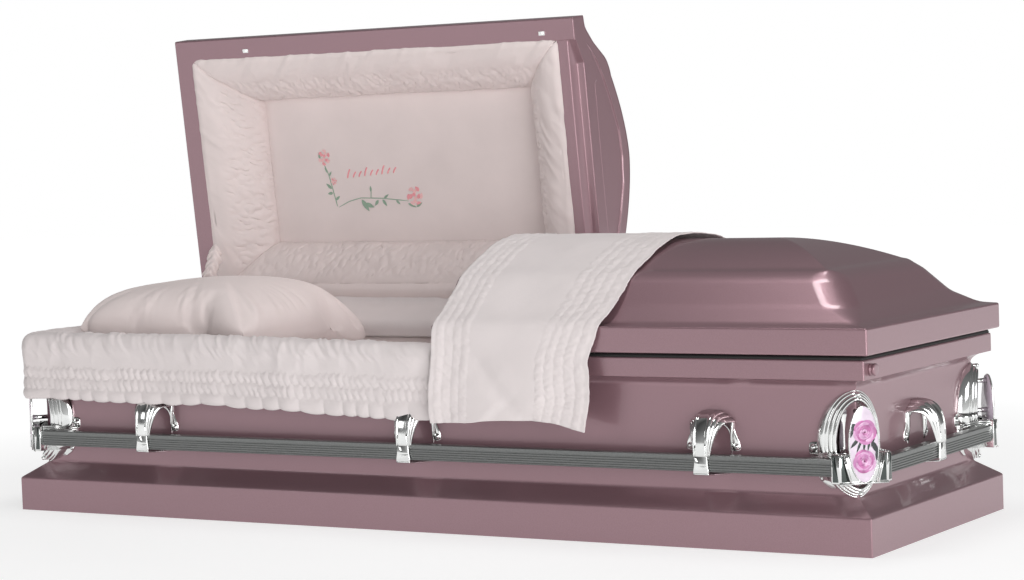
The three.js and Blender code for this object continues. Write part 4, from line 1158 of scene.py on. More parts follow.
def skirt():
    """Skirt in one sheet."""
    part = thick(skirt_grid(), 0.0020)
    obj = piece("skirt", [(part, 0)], [pale_crepe()], "casket", ("skirt_front", "skirt_head"))
    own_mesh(obj)


def throw_line(spacing):
    """Line of the throw from its front hem over the lid, in Y and Z, taut across the lid's hollows."""
    line = lid_line()
    line = line[np.argmax(line[:, 1] > 0.02):]
    front = [(-LID_Y + inset, LID_Z + height) for inset, height in line]
    back = [(-y, z) for y, z in reversed(front) if -0.130 < y < 0]
    line, _ = resampled([(-LID_Y - 0.0005, 0.2300)] + front + back, spacing)
    raised = line[:, 1] > LID_Z + 0.046
    hull = []
    for point in line[raised & (line[:, 0] <= 0)]:
        while len(hull) > 1 and np.cross(hull[-1] - hull[-2], point - hull[-2]) >= 0:
            hull.pop()
        hull.append(point)
    hull = np.array(hull)
    taut = np.interp(-np.abs(line[:, 0]), hull[:, 0], hull[:, 1])
    height = np.where(raised, 0.88 * taut + 0.12 * line[:, 1], line[:, 1])
    line, _ = resampled(np.column_stack([line[:, 0], height]), spacing)
    return resampled(smoothed(line, 14), spacing)


def throw():
    """Crepe throw laid over the shut foot lid, from just inside its split end."""
    sizes = bpy.context.scene.casket_sizes
    line, v = throw_line(0.0034)
    outward = left_normals(line)
    height = line[:, 1]
    left = np.interp(
        height, [0.226, 0.26, 0.33, 0.40, 0.46, 0.51, 0.56, 0.60],
        [0.090, 0.089, 0.092, 0.098, 0.096, 0.094, 0.092, 0.092])
    right = np.interp(
        height, [0.226, 0.289, 0.369, 0.39, 0.42, 0.47, 0.55, 0.60],
        [0.456, 0.470, 0.467, 0.474, 0.486, 0.501, 0.506, 0.512])
    left = smoothed(left, 6)
    right = smoothed(right + 0.046 * ease(line[:, 0], -0.06, 0.08), 6)
    t = np.linspace(0, 1, 158)
    x = left[:, None] * (1 - t) + right[:, None] * t
    from_left = x - left[:, None]
    from_right = right[:, None] - x
    along = np.broadcast_to(v[:, None], x.shape)
    left_puff = puffs(along, from_left, [0.010, 0.029, 0.049, 0.068, 0.089], 0.0150, 71, 0.0022)
    right_puff = puffs(along, from_right, [0.010, 0.033, 0.057, 0.080, 0.102, 0.124], 0.0165, 83, 0.0026)
    left_band = ease(0.094 - from_left, 0, 0.010)
    right_band = ease(0.129 - from_right, 0, 0.010)
    banded = left_puff * left_band + right_puff * right_band
    crinkle = shirring(along, x, 0.011, 97) * np.maximum(left_band, right_band)
    drop = ease(-height, -0.42, -0.30)[:, None]
    drape = ease(-height, -0.46, -0.40)[:, None]
    down = np.clip(0.40 - height[:, None], 0, 1)
    broad = folds(x, along, 0.13, 0.32, -0.7, 91)
    soft = folds(x, along, 0.050, 0.16, -0.9, 95)
    valley = np.exp(-(((from_left - 0.080 - 0.85 * down) / (0.016 + 0.10 * down)) ** 2))
    lift = (
        0.0044 + 0.0080 * ease(height, 0.52, 0.60)[:, None]
        + sizes.puff_depth * (0.50 + 0.10 * drop) * banded + 0.0013 * crinkle
        + 0.0014 * (broad + 1) + 0.0007 * (soft + 1)
        + drop * (0.009 + 0.0035 * broad + 0.0016 * soft - 0.0045 * valley)
        + drape * (0.005 + 0.007 * ease(0.05 - from_left, 0, 0.05)))
    y = line[:, 0:1] + outward[:, 0:1] * lift
    z = line[:, 1:2] + outward[:, 1:2] * lift
    hem = ease(-height, -0.300, -0.2300)[:, None]
    rise = np.interp(t, [0, 0.12, 0.40, 0.68, 0.82, 1.0], [0.0045, 0.0055, 0.0100, 0.0135, 0.0100, -0.0055])
    z = z + hem * (0.0022 * ripple(x / 0.045, 0, 99) + rise)
    x = x + 0.0022 * ripple(along / 0.035, t * 2, 103) * (np.abs(t - 0.5) * 2) ** 3
    part = thick(np.stack([x, y, z], -1)[:, ::-1], 0.0016)
    obj = piece("throw", [(part, 0)], [pale_crepe()], "foot_lid", ("foot_throw",))


ROLL_START = 0.048
ROLL_WIDTH = 0.132


def roll_line():
    """Inset and height of a lining roll's face."""
    line = rounded([
        (0.0480, 0.0055), (0.060, 0.0015), (0.100, 0.007), (0.158, 0.050), (0.179, 0.082), (0.1800, 0.1020)],
        [0.005, 0.024, 0.040, 0.014], 7)
    return resampled(line, 0.0028)


def lining_inset(line, plump, start):
    """Inset of a roll's line for its plumpness and the inset that it starts at."""
    return start + (line[:, 0:1] - ROLL_START) * (ROLL_START + ROLL_WIDTH * plump - start) / ROLL_WIDTH


def lining_roll(name, node, side, half_run, half_across, centre, shape, neighbours, shirred, seed):
    """Stuffed roll along one side of the head lid, mitred at its ends."""
    sizes = bpy.context.scene.casket_sizes
    line, v = roll_line()
    normal = -left_normals(line)
    count = int(2 * (half_run - 0.05) / 0.0027)
    t = np.linspace(0, 1, count)[None, :]
    insets = [lining_inset(line, *shape) for shape in neighbours]
    low, high = -half_run + insets[0] + 0.0006, half_run - insets[1] - 0.0006
    u = low + t * (high - low)
    depth = np.broadcast_to(v[:, None], u.shape)
    from_end = np.minimum(u - low, high - u)
    edge = np.minimum(ease(depth, 0, 0.010), ease(v[-1] - depth, 0, 0.008)) * ease(from_end, 0, 0.016)
    gathered = shirring(u, depth, 0.013, seed) * ease(depth, v[-1] * shirred - 0.01, v[-1] * shirred + 0.02)
    smooth = ease(v[-1] * (shirred + 0.15) - depth, 0, 0.04)
    pulled = creases(u, depth, 0.034, 0.07, 0.9, seed + 5) + 0.8 * folds(u, depth, 0.030, 0.08, 0.6, seed + 6)
    sway = 0.0030 * ripple(u / 0.12, depth / 0.15, seed + 8)
    lift = edge * (sizes.fold_depth * (1.35 * gathered + 1.05 * pulled * smooth) + sway)
    lift = lift - 0.004 * np.exp(-(from_end / 0.005) ** 2)
    wide = lining_inset(line, *shape)
    lift = np.maximum(lift, np.where(wide < 0.060, -0.0010, -0.02))
    inset = wide + normal[:, 0:1] * lift
    dip = 0.0098 * ease(-wide, -0.064, -0.050) if shape[1] < 0.04 else 0.0
    height = line[:, 1:2] + normal[:, 1:2] * lift - dip
    local = np.stack([u, -half_across + inset, LID_Z + height], -1)
    part = moved(thick(local, -0.006), Matrix.Translation((centre, 0, 0)) @ Matrix.Rotation(side, 4, "Z"))
    obj = piece(name, [(moved(part, lid_swing()), 0)], [blush_crepe()], "head_lid", (node,))


def lid_lining():
    """Four rolls and the flat panel of the head lid."""
    half = (HEAD_FACE + LID_X) / 2
    centre = (HEAD_FACE - LID_X) / 2
    front, rear, head, split = (0.82, 0.048), (0.74, 0.030), (0.98, 0.048), (0.90, 0.048)
    lining_roll("roll_front", "lid_lining_front", 0, half, LID_Y, centre, front, (head, split), 0.36, 201)
    lining_roll("roll_rear", "lid_lining_rear", math.pi, half, LID_Y, centre, rear, (split, head), 0.30, 231)
    lining_roll("roll_split", "lid_lining_split", math.pi / 2, LID_Y, half, centre, split, (front, rear),
        0.45, 261)
    lining_roll("roll_head", "lid_lining_head", -math.pi / 2, LID_Y, half, centre, head, (rear, front),
        0.30, 291)
    low, high = -LID_X + 0.150, HEAD_FACE - 0.150
    x = np.linspace(low, high, 90)
    y = np.linspace(-LID_Y + 0.135, LID_Y - 0.130, 44)
    grid_x, grid_y = np.meshgrid(x, y, indexing="ij")
    z = LID_Z + 0.1010 + 0.0006 * ripple(grid_x / 0.14, grid_y / 0.14, 311)
    part = thick(np.stack([grid_x, grid_y, z], -1), -0.004)
    obj = piece("panel_cloth", [(moved(part, lid_swing()), 0)], [blush_crepe()], "head_lid",
        ("lid_panel",))


# Embroidery on the panel: a generic rose sprig and one row of plain strokes


def stroke(points, width, height=0.0011):
    """Rounded line of thread on the panel, in X across and Y up."""
    line = np.array([(*p, 0.0) for p in points])
    if len(points) > 2:
        line = rounded(line, 0.006, 4)
    line, at = resampled(line, 0.0018)
    share = at / at[-1]
    taper = width / 2 * np.minimum(1, 0.45 + 2.2 * np.sin(np.pi * share))
    return tube(line, taper, 8, height / (width / 2))


def thread_rose(centre, size, turn):
    """Rose of short stitched petals in rings."""
    parts = []
    for k, (radius, count) in enumerate([(0.78, 6), (0.48, 4), (0.2, 2)]):
        for n in range(count):
            a = turn + 2 * math.pi * n / count + 0.5 * k
            at = (centre[0] + size * radius * math.cos(a), centre[1] + size * radius * 1.1 * math.sin(a))
            half = size * (0.34 - 0.05 * k)
            tip = (at[0] + half * math.cos(a + 1.2), at[1] + half * math.sin(a + 1.2))
            base = (at[0] - half * math.cos(a + 1.2), at[1] - half * math.sin(a + 1.2))
            parts.append((thread_leaf(base, tip, size * 0.42, 0.0006 + 0.0003 * k), (k + n) % 2))
    return parts


def thread_leaf(base, tip, width, level=0.0006):
    """Leaf or petal with a higher relief than a printed one."""
    points, faces = leaf(base, tip, width, 0)
    points = np.array(points)
    points[:, 2] = level + points[:, 2] * 3
    return points, faces


def embroidery():
    """Rose sprig and row of strokes on the panel."""
    colours = bpy.context.scene.casket_colours
    looks = [thread("thread_rose", colours.rose), thread("thread_blush", (0.90, 0.52, 0.52)),
        thread("thread_leaf", colours.leaf)]
    parts = []
    parts += thread_rose((-0.722, -0.313), 0.019, 0.4)
    parts += thread_rose((-0.464, -0.415), 0.024, 1.1)
    parts += thread_rose((-0.700, -0.373), 0.009, 0.2)
    green = [
        stroke([(-0.724, -0.332), (-0.714, -0.355), (-0.706, -0.392), (-0.697, -0.436)], 0.0022),
        stroke([(-0.693, -0.438), (-0.660, -0.424), (-0.625, -0.416), (-0.560, -0.418), (-0.484, -0.426)],
        0.0022), stroke([(-0.594, -0.417), (-0.592, -0.400)], 0.0018),
        stroke([(-0.716, -0.350), (-0.722, -0.345)], 0.0016)]
    parts += [(part, 2) for part in green]
    for base, tip, width in (
            [(-0.735, -0.318), (-0.737, -0.300), 0.006], [(-0.716, -0.352), (-0.724, -0.338), 0.005],
            [(-0.713, -0.360), (-0.704, -0.348), 0.005], [(-0.708, -0.392), (-0.724, -0.378), 0.008],
            [(-0.706, -0.402), (-0.722, -0.404), 0.008], [(-0.700, -0.420), (-0.686, -0.410), 0.007],
            [(-0.592, -0.402), (-0.592, -0.386), 0.006], [(-0.622, -0.420), (-0.602, -0.450), 0.013],
            [(-0.612, -0.430), (-0.586, -0.440), 0.011], [(-0.572, -0.422), (-0.584, -0.436), 0.008],
            [(-0.560, -0.421), (-0.548, -0.438), 0.008], [(-0.556, -0.419), (-0.540, -0.408), 0.006],
            [(-0.520, -0.424), (-0.508, -0.434), 0.006], [(-0.486, -0.432), (-0.462, -0.442), 0.007],
            [(-0.462, -0.441), (-0.444, -0.430), 0.007]):
        parts.append((thread_leaf(base, tip, width), 2))
    for k in range(9):
        x = -0.658 + 0.0172 * k
        tall = 0.022 if k in (0, 3, 6) else 0.014
        y = -0.366 + 0.0012 * k
        line = [(x, y), (x + 0.004, y + tall * 0.6), (x + 0.0095, y + tall)]
        parts.append((stroke(line, 0.0044, 0.0014), 0))
    flat = axes((1, 0, 0), (0, -1, 0), (0, 0, -1), (0, -LID_Y, LID_Z + 0.1007))
    swing = lid_swing()
    shaped = [(moved(moved(part, flat), swing), look) for part, look in parts]
    piece("rose_sprig", shaped, looks, "head_lid")


# Interior


def wall_lining():
    """Padded crepe strip round the inside of the body."""
    line = rounded([
        (-0.0020, 0.352), (-0.0060, 0.3555), (-0.0120, 0.350), (-0.0150, 0.300), (-0.0125, 0.180),
        (-0.0135, 0.102)], [0.003, 0.006, 0.02, 0.05], 5)
    line, v = resampled(line, 0.006)
    sides = []
    for half_run, half_across, turn in (
            (WALL_X, WALL_Y, 0), (WALL_Y, WALL_X, math.pi / 2), (WALL_X, WALL_Y, math.pi),
            (WALL_Y, WALL_X, -math.pi / 2)):
        count = int(2 * half_run / 0.007)
        u = np.linspace(-1, 1, count)[None, :] * (half_run + line[:, 0:1])
        depth = np.broadcast_to(v[:, None], u.shape)
        lift = 0.0016 * folds(u, depth, 0.022, 0.12, 0.3, 401) + 0.0012 * ripple(u / 0.08, depth / 0.05, 403)
        local = np.stack([u, -(half_across + line[:, 0:1]) + lift, line[:, 1:2] + 0 * u], -1)
        sides.append((moved(thick(local, 0.004), Matrix.Rotation(turn, 4, "Z")), 0))
    nodes = ("lining_front", "lining_rear", "lining_foot", "lining_head")
    obj = piece("wall_lining", sides, [blush_crepe()], "casket", nodes)


def mattress():
    """Tufted mattress cover."""
    low, high = (np.array(c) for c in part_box("mattress"))
    half_x, half_y = (high[0] - low[0]) / 2 - 0.002, (high[1] - low[1]) / 2 - 0.002
    levels = [(0.40, 0.0), (0.90, 0.0), (0.985, 0.006), (1.0, 0.022), (0.997, 0.055), (1.0, 0.088),
        (0.985, 0.104), (0.95, 0.109)]
    rings = []
    for share, height in levels:
        inset = (1 - share) * half_y
        loop = ring(half_x - inset, half_y - inset, max(0.03 - 0.3 * inset, 0.004), 6)
        rings.append(np.column_stack([loop, np.full(len(loop), low[2] + height)]))
    sides, faces = net(np.array(rings), wrap_columns=True)
    faces.append(list(range(len(loop)))[::-1])
    inset = 0.05 * half_y
    x = np.linspace(-half_x + inset, half_x - inset, 150)
    y = np.linspace(-half_y + inset, half_y - inset, 44)
    grid_x, grid_y = np.meshgrid(x, y, indexing="ij")
    edge = np.minimum(ease(half_x - inset - np.abs(grid_x), 0, 0.04),
        ease(half_y - inset - np.abs(grid_y), 0, 0.04))
    tuft = np.cos(np.pi * grid_x / 0.28) * np.cos(np.pi * grid_y / 0.16)
    dimple = 0.004 * np.exp(-(1 - np.abs(tuft)) * 26)
    z = low[2] + 0.1085 + edge * (0.0012 - dimple) + 0.0006 * ripple(grid_x / 0.05, grid_y / 0.05, 407)
    top = net(np.stack([grid_x, grid_y, z], -1))
    obj = piece("mattress_cover", [((sides, faces), 0), (top, 0)], [pale_crepe()], "casket",
        ("mattress",))


def rear_apron():
    """Smooth crepe between the rear lining and the open head lid."""
    line = rounded([(0.2740, 0.3560), (0.2765, 0.388), (0.3080, 0.4080), (0.3480, 0.4260), (0.3640, 0.4490)],
                   [0.012, 0.03, 0.02], 6)
    line, v = resampled(line, 0.005)
    x = np.linspace(-0.964, 0.072, 170)
    u = np.broadcast_to(x, (len(line), len(x)))
    depth = np.broadcast_to(v[:, None], u.shape)
    normal = left_normals(line)
    sway = 0.0025 * ripple(u / 0.16, depth / 0.08, 411) + 0.0016 * folds(u, depth, 0.05, 0.1, 0.2, 413)
    lift = ease(depth, 0, 0.02) * sway
    y = line[:, 0:1] + normal[:, 0:1] * lift
    z = line[:, 1:2] + normal[:, 1:2] * lift
    part = thick(np.stack([u, y, z], -1), 0.0022)
    obj = piece("rear_cloth", [(part, 0)], [pale_crepe()], "", ("rear_apron",))
    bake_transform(obj)


def stay_sleeve():
    """Ruched sleeve over the lid's stay at the head end."""
    share = np.linspace(0, 1, 90)
    low, high = (np.array(c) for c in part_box("stay_sleeve"))
    middle = (low[0] + high[0]) / 2
    path = np.stack([
        middle + 0.004 + 0.006 * np.sin(share * 10),
        0.2389 + 0.078 * share ** 1.4 + 0.004 * np.sin(share * 15),
        low[2] + (high[2] - low[2] + 0.012) * share], -1)
    angle = np.linspace(0, 2 * np.pi, 44, endpoint=False)
    ruche = np.abs(np.sin(share[:, None] * 40 + 1.2 * np.sin(angle) + 0.9 * np.sin(2 * angle + 1))) ** 0.7
    radius = 0.0105 + 0.0090 * ruche
    radius = radius + 0.0020 * ripple(share[:, None] * 16, np.cos(angle)[None, :] * 2 + 9, 421)
    radius = radius * (0.55 + 0.45 * ease(1 - share[:, None], 0, 0.06))
    rings = np.stack([
        path[:, 0:1] + radius * np.cos(angle), path[:, 1:2] + radius * np.sin(angle),
        path[:, 2:3] + 0.006 * np.sin(angle * 2 + 3)[None, :] + 0 * radius], -1)
    obj = piece("stay_sleeve_ruched", [(capped(rings), 0)], [blush_crepe()], "casket",
        ("stay_sleeve",))
    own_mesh(obj)


BLANK_HALF = 0.285


def pillow_blank(columns, rows):
    """Two flat layers of cloth joined round their edges."""
    x = np.linspace(-BLANK_HALF, BLANK_HALF, columns)
    y = np.linspace(-BLANK_HALF, BLANK_HALF, rows)
    gx, gy = np.meshgrid(x, y, indexing="ij")
    bow = 0.012 * np.minimum(1 - (gx / BLANK_HALF) ** 2, 1 - (gy / BLANK_HALF) ** 2)
    bow = bow + 0.0012 * ripple(gx / 0.03, gy / 0.03, 501) * (bow > 0)
    top, faces = net(np.stack([gx, gy, bow], -1))
    under, more = net(np.stack([gx, gy, -np.abs(bow)], -1))
    return np.vstack([top, under]), faces + [[v + len(top) for v in face[::-1]] for face in more]


def filled(points, faces, frames, pressure):
    """Shape of a cloth form after it has been blown up."""
    mesh = bpy.data.meshes.new("pillow_blank")
    mesh.from_pydata(points.tolist(), [], faces)
    form = bmesh.new()
    form.from_mesh(mesh)
    bmesh.ops.remove_doubles(form, verts=form.verts, dist=1e-5)
    bmesh.ops.recalc_face_normals(form, faces=form.faces)
    form.to_mesh(mesh)
    form.free()
    obj = bpy.data.objects.new("pillow_blank", mesh)
    bpy.context.scene.collection.objects.link(obj)
    cloth = obj.modifiers.new("Cloth", "CLOTH")
    nature = {"quality": 8, "mass": 0.12, "tension_stiffness": 22, "compression_stiffness": 22,
              "shear_stiffness": 6, "bending_stiffness": 1.5, "use_pressure": True,
              "uniform_pressure_force": pressure}
    for name, value in nature.items():
        setattr(cloth.settings, name, value)
    cloth.settings.effector_weights.gravity = 0
    cloth.point_cache.frame_start = 1
    cloth.point_cache.frame_end = frames
    scene = bpy.context.scene
    for number in range(1, frames + 1):
        scene.frame_set(number)
    shaped = bpy.data.meshes.new_from_object(obj.evaluated_get(bpy.context.evaluated_depsgraph_get()))
    result = np.array([v.co for v in shaped.vertices])
    faces = [list(p.vertices) for p in shaped.polygons]
    pairs = np.array([e.vertices[:] for e in shaped.edges])
    bpy.data.objects.remove(obj)
    scene.frame_set(1)
    calm = result.copy()
    for _ in range(70):
        total, count = np.zeros_like(calm), np.zeros((len(calm), 1))
        for a, b in (pairs.T, pairs.T[::-1]):
            np.add.at(total, a, calm[b])
            np.add.at(count, a, 1)
        calm = total / count
    return 0.72 * calm + 0.28 * result, faces


def pillow():
    """Pillow from the filled blank, fitted to its place with a tuck at the near corner."""
    sizes = bpy.context.scene.casket_sizes
    low, high = (np.array(c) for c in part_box("pillow"))
    points, faces = filled(*pillow_blank(84, 82), 40, 7.0)
    centre = (low + high) / 2
    mid = (points.max(0) + points.min(0)) / 2
    unit = (points - mid) / ((points.max(0) - points.min(0)) / 2)
    x, y, z = unit.T
    edge = 1 - np.maximum(np.abs(x), np.abs(y))
    reach = (np.abs(x) ** 9 + np.abs(y) ** 9 + 1e-12) ** (1 / 9)
    pull = np.maximum(np.abs(x), np.abs(y)) / reach
    x, y = x * pull, y * pull
    turn = np.arctan2(y, x)
    pucker = creases(turn * 0.30, edge * 0.3, 0.017, 0.35, 0.15, 505)
    pucker = pucker * ease(edge, 0.0, 0.10) * ease(0.70 - edge, 0, 0.55)
    near = ease(x + y, 1.0, 1.75)
    tuck = np.exp(-((turn - 0.66) / 0.035) ** 2) * ease(0.34 - edge, 0, 0.28) * ease(edge, 0.0, 0.04)
    swell = np.exp(-((turn - 0.80) / 0.060) ** 2) * ease(0.30 - edge, 0, 0.24) * ease(edge, 0.0, 0.04)
    head = ease(-x, 0.0, 1.0) * (1 - np.abs(y) ** 3)
    seam = 0.37 - 0.20 * near + 0.24 * head
    body = np.where(z > 0, np.abs(z) ** (0.85 - 0.25 * head) * (1 - seam), -np.abs(z) ** 0.7 * seam)
    place = np.column_stack([
        centre[0] + x * (high[0] - low[0]) / 2,
        y * (high[1] - low[1]) / 2,
        low[2] + (seam + body) * sizes.pillow_rise])
    place[:, 2] += np.where(z > 0, 0.0042 * pucker - 0.020 * tuck + 0.012 * swell, 0)
    place[:, 2] = np.maximum(place[:, 2], low[2] + 0.001)
    obj = piece("pillow_case", [((place, faces), 0)], [blush_crepe()], "casket", ("pillow",))
    smooth = obj.modifiers.new("Finer cloth", "SUBSURF")
    smooth.levels = 1
    smooth.render_levels = 1
    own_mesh(obj)


def carried_over():
    """Finishes of the frame's own pieces that stay in view."""
    looks = {"bottom_pan": enamel_paint, "foot_lid_header": enamel_paint, "bed_frame": bed_metal,
             "lid_catch_foot_side": plating, "lid_catch_head_side": plating}
    for name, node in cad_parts.items():
        look = looks.get(name, enamel_paint if "hinge_leaf" in name else None)
        if look:
            for place in node.material_slots:
                place.material = look()
            soft = node.modifiers.new("Softened edges", "BEVEL")
            soft.width = 0.0005
            soft.segments = 2
            soft.limit_method = "ANGLE"


# Stage


def area_light(name, place, target, size, power):
    light = bpy.data.lights.new(name, "AREA")
    light.shape = "RECTANGLE"
    light.size, light.size_y = size
    light.energy = power
    obj = bpy.data.objects.new(name, light)
    obj.location = place
    obj.rotation_euler = (Vector(target) - Vector(place)).to_track_quat("-Z", "Y").to_euler()
    bpy.context.scene.collection.objects.link(obj)


def world_light():
    """Pale studio all round: a dim ceiling, a bright band low down and brighter air to the right."""
    world = bpy.data.worlds.new("studio")
    bpy.context.scene.world = world
    world.use_nodes = True
    nodes, links = world.node_tree.nodes, world.node_tree.links
    nodes.clear()
    place = nodes.new("ShaderNodeTexCoord")

    def grey(value):
        return (value, value, value, 1)

    def shade(direction, stops):
        toward = nodes.new("ShaderNodeVectorMath")
        toward.operation = "DOT_PRODUCT"
        toward.inputs[1].default_value = direction
        links.new(place.outputs["Generated"], toward.inputs[0])
        spread = nodes.new("ShaderNodeMapRange")
        spread.inputs["From Min"].default_value = -1
        links.new(toward.outputs["Value"], spread.inputs["Value"])
        ramp = nodes.new("ShaderNodeValToRGB")
        elements = ramp.color_ramp.elements
        elements[0].position, elements[0].color = stops[0][0], grey(stops[0][1])
        elements[1].position, elements[1].color = stops[-1][0], grey(stops[-1][1])
        for position, value in stops[1:-1]:
            elements.new(position).color = grey(value)
        links.new(spread.outputs["Result"], ramp.inputs["Fac"])
        return ramp

    tall = shade((0, 0, 1), [(0.48, 0.75), (0.53, 0.62), (0.60, 0.42), (0.70, 0.24), (0.86, 0.24),
        (1.0, 0.30)])
    side = shade((0.86, -0.50, 0.0), [(0.0, 0.30), (0.30, 0.55), (0.42, 0.16), (0.55, 0.42), (0.70, 0.44),
        (0.92, 0.78), (1.0, 0.86)])
    both = nodes.new("ShaderNodeMix")
    both.data_type = "RGBA"
    both.blend_type = "MULTIPLY"
    both.inputs["Factor"].default_value = 1.0
    links.new(tall.outputs["Color"], both.inputs["A"])
    links.new(side.outputs["Color"], both.inputs["B"])
    air = nodes.new("ShaderNodeBackground")
    air.inputs["Strength"].default_value = 1.25
    links.new(both.outputs["Result"], air.inputs["Color"])
    backdrop = nodes.new("ShaderNodeBackground")
    backdrop.inputs["Color"].default_value = (1, 1, 1, 1)
    seen = nodes.new("ShaderNodeLightPath")
    mix = nodes.new("ShaderNodeMixShader")
    links.new(seen.outputs["Is Camera Ray"], mix.inputs["Fac"])
    links.new(air.outputs["Background"], mix.inputs[1])
    links.new(backdrop.outputs["Background"], mix.inputs[2])
    out = nodes.new("ShaderNodeOutputWorld")
    links.new(mix.outputs["Shader"], out.inputs["Surface"])


def photo_camera():
    """Camera that sees the casket as in the photograph."""
    camera = bpy.data.cameras.new("camera")
    camera.sensor_width = 36
    camera.sensor_fit = "HORIZONTAL"
    camera.lens = bpy.context.scene.casket_sizes.camera_lens
    camera.clip_end = 100
    obj = bpy.data.objects.new("camera", camera)
    yaw, pitch, roll = 0.5543, -0.0588, -0.0363
    ahead = Vector((-math.sin(yaw) * math.cos(pitch), math.cos(yaw) * math.cos(pitch), math.sin(pitch)))
    right = Vector((math.cos(yaw), math.sin(yaw), 0))
    up = right.cross(ahead)
    side = math.cos(roll) * right + math.sin(roll) * up
    high = -math.sin(roll) * right + math.cos(roll) * up
    obj.matrix_world = axes(side, high, -ahead, (3.1278, -4.9282, 0.827))
    bpy.context.scene.collection.objects.link(obj)
    bpy.context.scene.camera = obj


def pale_ground():
    """Pale floor that brightens away from the casket until it meets the background."""
    half = 14
    floor = bpy.data.meshes.new("floor")
    floor.from_pydata([(-half, -half, 0), (half, -half, 0), (half, half, 0), (-half, half, 0)], [],
        [(0, 1, 2, 3)])
    ground = bpy.data.objects.new("floor", floor)
    ground.location = (0, 0, -0.0005)
    material, shader = finish("pale_floor", (0.9, 0.9, 0.9), 0.7, Emission_Strength=1.0)
    if shader:
        nodes, links = material.node_tree.nodes, material.node_tree.links
        place = nodes.new("ShaderNodeTexCoord")
        away = nodes.new("ShaderNodeVectorMath")
        away.operation = "LENGTH"
        links.new(place.outputs["Object"], away.inputs[0])
        far = nodes.new("ShaderNodeMapRange")
        far.inputs["From Min"].default_value = 0.9
        far.inputs["From Max"].default_value = 2.6
        links.new(away.outputs["Value"], far.inputs["Value"])
        shaded(material, shader, far.outputs["Result"], [(0.0, (0.4,) * 3), (1.0, (0.02,) * 3)])
        shaded(material, shader, far.outputs["Result"], [(0.0, (0.64,) * 3), (1.0, (1.0,) * 3)],
            "Emission Color")
    floor.materials.append(material)
    bpy.context.scene.collection.objects.link(ground)


def studio():
    """Camera, floor, colour view and lights."""
    photo_camera()
    pale_ground()
    bpy.context.scene.view_settings.view_transform = "Standard"
    bpy.context.scene.view_settings.look = "None"
    world_light()
    area_light("key", (4.3, -3.7, 1.3), (0, 0, 0.45), (3.4, 2.4), 164)
    area_light("side", (5.2, 0.8, 1.6), (0.6, 0, 0.3), (1.4, 1.4), 26)
    area_light("left", (-3.6, -4.8, 1.6), (-0.4, 0, 0.4), (1.4, 1.4), 14)
    area_light("overhead", (0.3, -0.15, 3.8), (0, 0, 0.4), (2.6, 0.6), 50)


# Operators, panel and registration


class CasketOperator:
    """Shared run of the casket's operators"""

    bl_options = {"REGISTER", "UNDO"}
    steps = ()

    def execute(self, context):
        for step in self.steps:
            step()
        return {"FINISHED"}


class CASKET_OT_stage(CasketOperator, bpy.types.Operator):
    """Set the camera, floor and studio light"""

    bl_idname = "casket.stage"
    bl_label = "Stage"
    steps = (studio,)


class CASKET_OT_body(CasketOperator, bpy.types.Operator):
    """Build the painted steel body with its seal and lock"""

    bl_idname = "casket.body"
    bl_label = "Steel body"
    steps = (steel_body, rim_seal, lock_knob, carried_over)


class CASKET_OT_lids(CasketOperator, bpy.types.Operator):
    """Build the head and foot lids"""

    bl_idname = "casket.lids"
    bl_label = "Lids"
    steps = (lids,)


def handle_bars():
    """The four bars."""
    handle_bar(WALL_X, "front_bar", 0, WALL_Y)
    handle_bar(WALL_X, "rear_bar", math.pi, WALL_Y)
    handle_bar(WALL_Y, "foot_bar", math.pi / 2, WALL_X)
    handle_bar(WALL_Y, "head_bar", -math.pi / 2, WALL_X)


class CASKET_OT_handles(CasketOperator, bpy.types.Operator):
    """Build the fluted bars and the plated arms that hold them"""

    bl_idname = "casket.handles"
    bl_label = "Handles"
    steps = (handle_bars, handle_arms)


class CASKET_OT_corners(CasketOperator, bpy.types.Operator):
    """Build the four corner castings and their rose medallions"""

    bl_idname = "casket.corners"
    bl_label = "Corners"
    steps = (corner_castings, medallions)


class CASKET_OT_lid_lining(CasketOperator, bpy.types.Operator):
    """Build the head lid's stuffed lining, panel and embroidery"""

    bl_idname = "casket.lid_lining"
    bl_label = "Lid lining"
    steps = (lid_lining, embroidery)


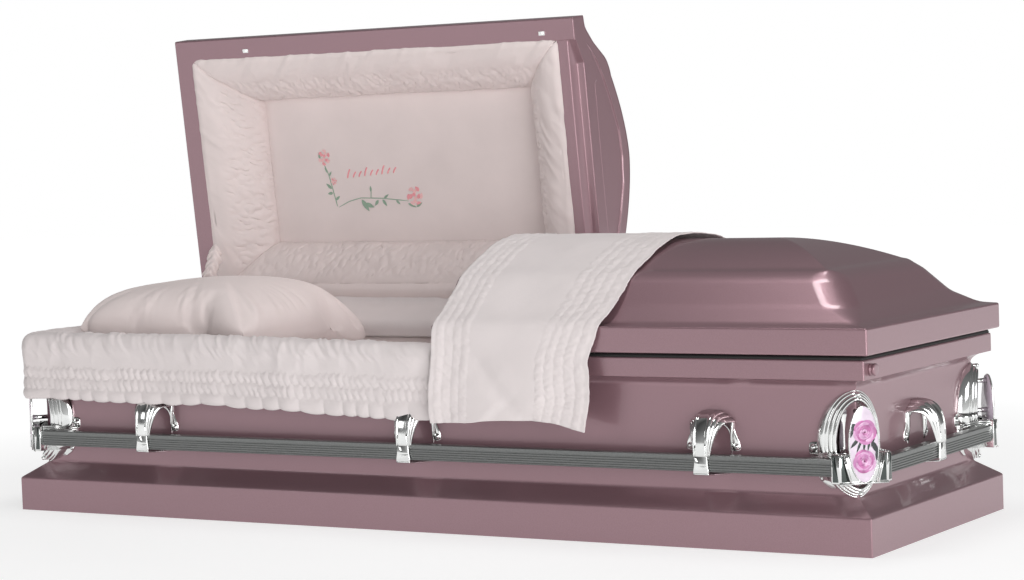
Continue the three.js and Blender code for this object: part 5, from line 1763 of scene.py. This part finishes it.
class CASKET_OT_interior(CasketOperator, bpy.types.Operator):
    """Build the wall lining, mattress, rear cloth and stay sleeve"""

    bl_idname = "casket.interior"
    bl_label = "Interior"
    steps = (wall_lining, mattress, rear_apron, stay_sleeve)


class CASKET_OT_pillow(CasketOperator, bpy.types.Operator):
    """Fill the pillow"""

    bl_idname = "casket.pillow"
    bl_label = "Pillow"
    steps = (pillow,)


class CASKET_OT_skirt(CasketOperator, bpy.types.Operator):
    """Build the skirt that is folded out over the rim"""

    bl_idname = "casket.skirt"
    bl_label = "Skirt"
    steps = (skirt,)


class CASKET_OT_throw(CasketOperator, bpy.types.Operator):
    """Lay the throw over the foot lid"""

    bl_idname = "casket.throw"
    bl_label = "Throw"
    steps = (throw,)


OPERATORS = (
    CASKET_OT_stage, CASKET_OT_body, CASKET_OT_lids, CASKET_OT_handles, CASKET_OT_corners,
    CASKET_OT_lid_lining, CASKET_OT_interior, CASKET_OT_pillow, CASKET_OT_skirt, CASKET_OT_throw)


class CASKET_PT_pieces(bpy.types.Panel):
    """Pieces of the casket in the sidebar"""

    bl_idname = "CASKET_PT_pieces"
    bl_label = "Casket"
    bl_space_type = "VIEW_3D"
    bl_region_type = "UI"
    bl_category = "Casket"

    def draw(self, context):
        for operator in OPERATORS:
            self.layout.operator(operator.bl_idname)
        for group in (context.scene.casket_sizes, context.scene.casket_colours):
            box = self.layout.box()
            for name in group.__annotations__:
                box.prop(group, name)


CLASSES = (CasketSizes, CasketColours, *OPERATORS, CASKET_PT_pieces)


def register():
    for item in CLASSES:
        bpy.utils.register_class(item)
    bpy.types.Scene.casket_sizes = PointerProperty(type=CasketSizes)
    bpy.types.Scene.casket_colours = PointerProperty(type=CasketColours)


def unregister():
    del bpy.types.Scene.casket_colours
    del bpy.types.Scene.casket_sizes
    for item in reversed(CLASSES):
        bpy.utils.unregister_class(item)


def main():
    register()
    for operator in OPERATORS:
        group, name = operator.bl_idname.split(".")
        getattr(getattr(bpy.ops, group), name)()


if __name__ == "__main__":
    main()
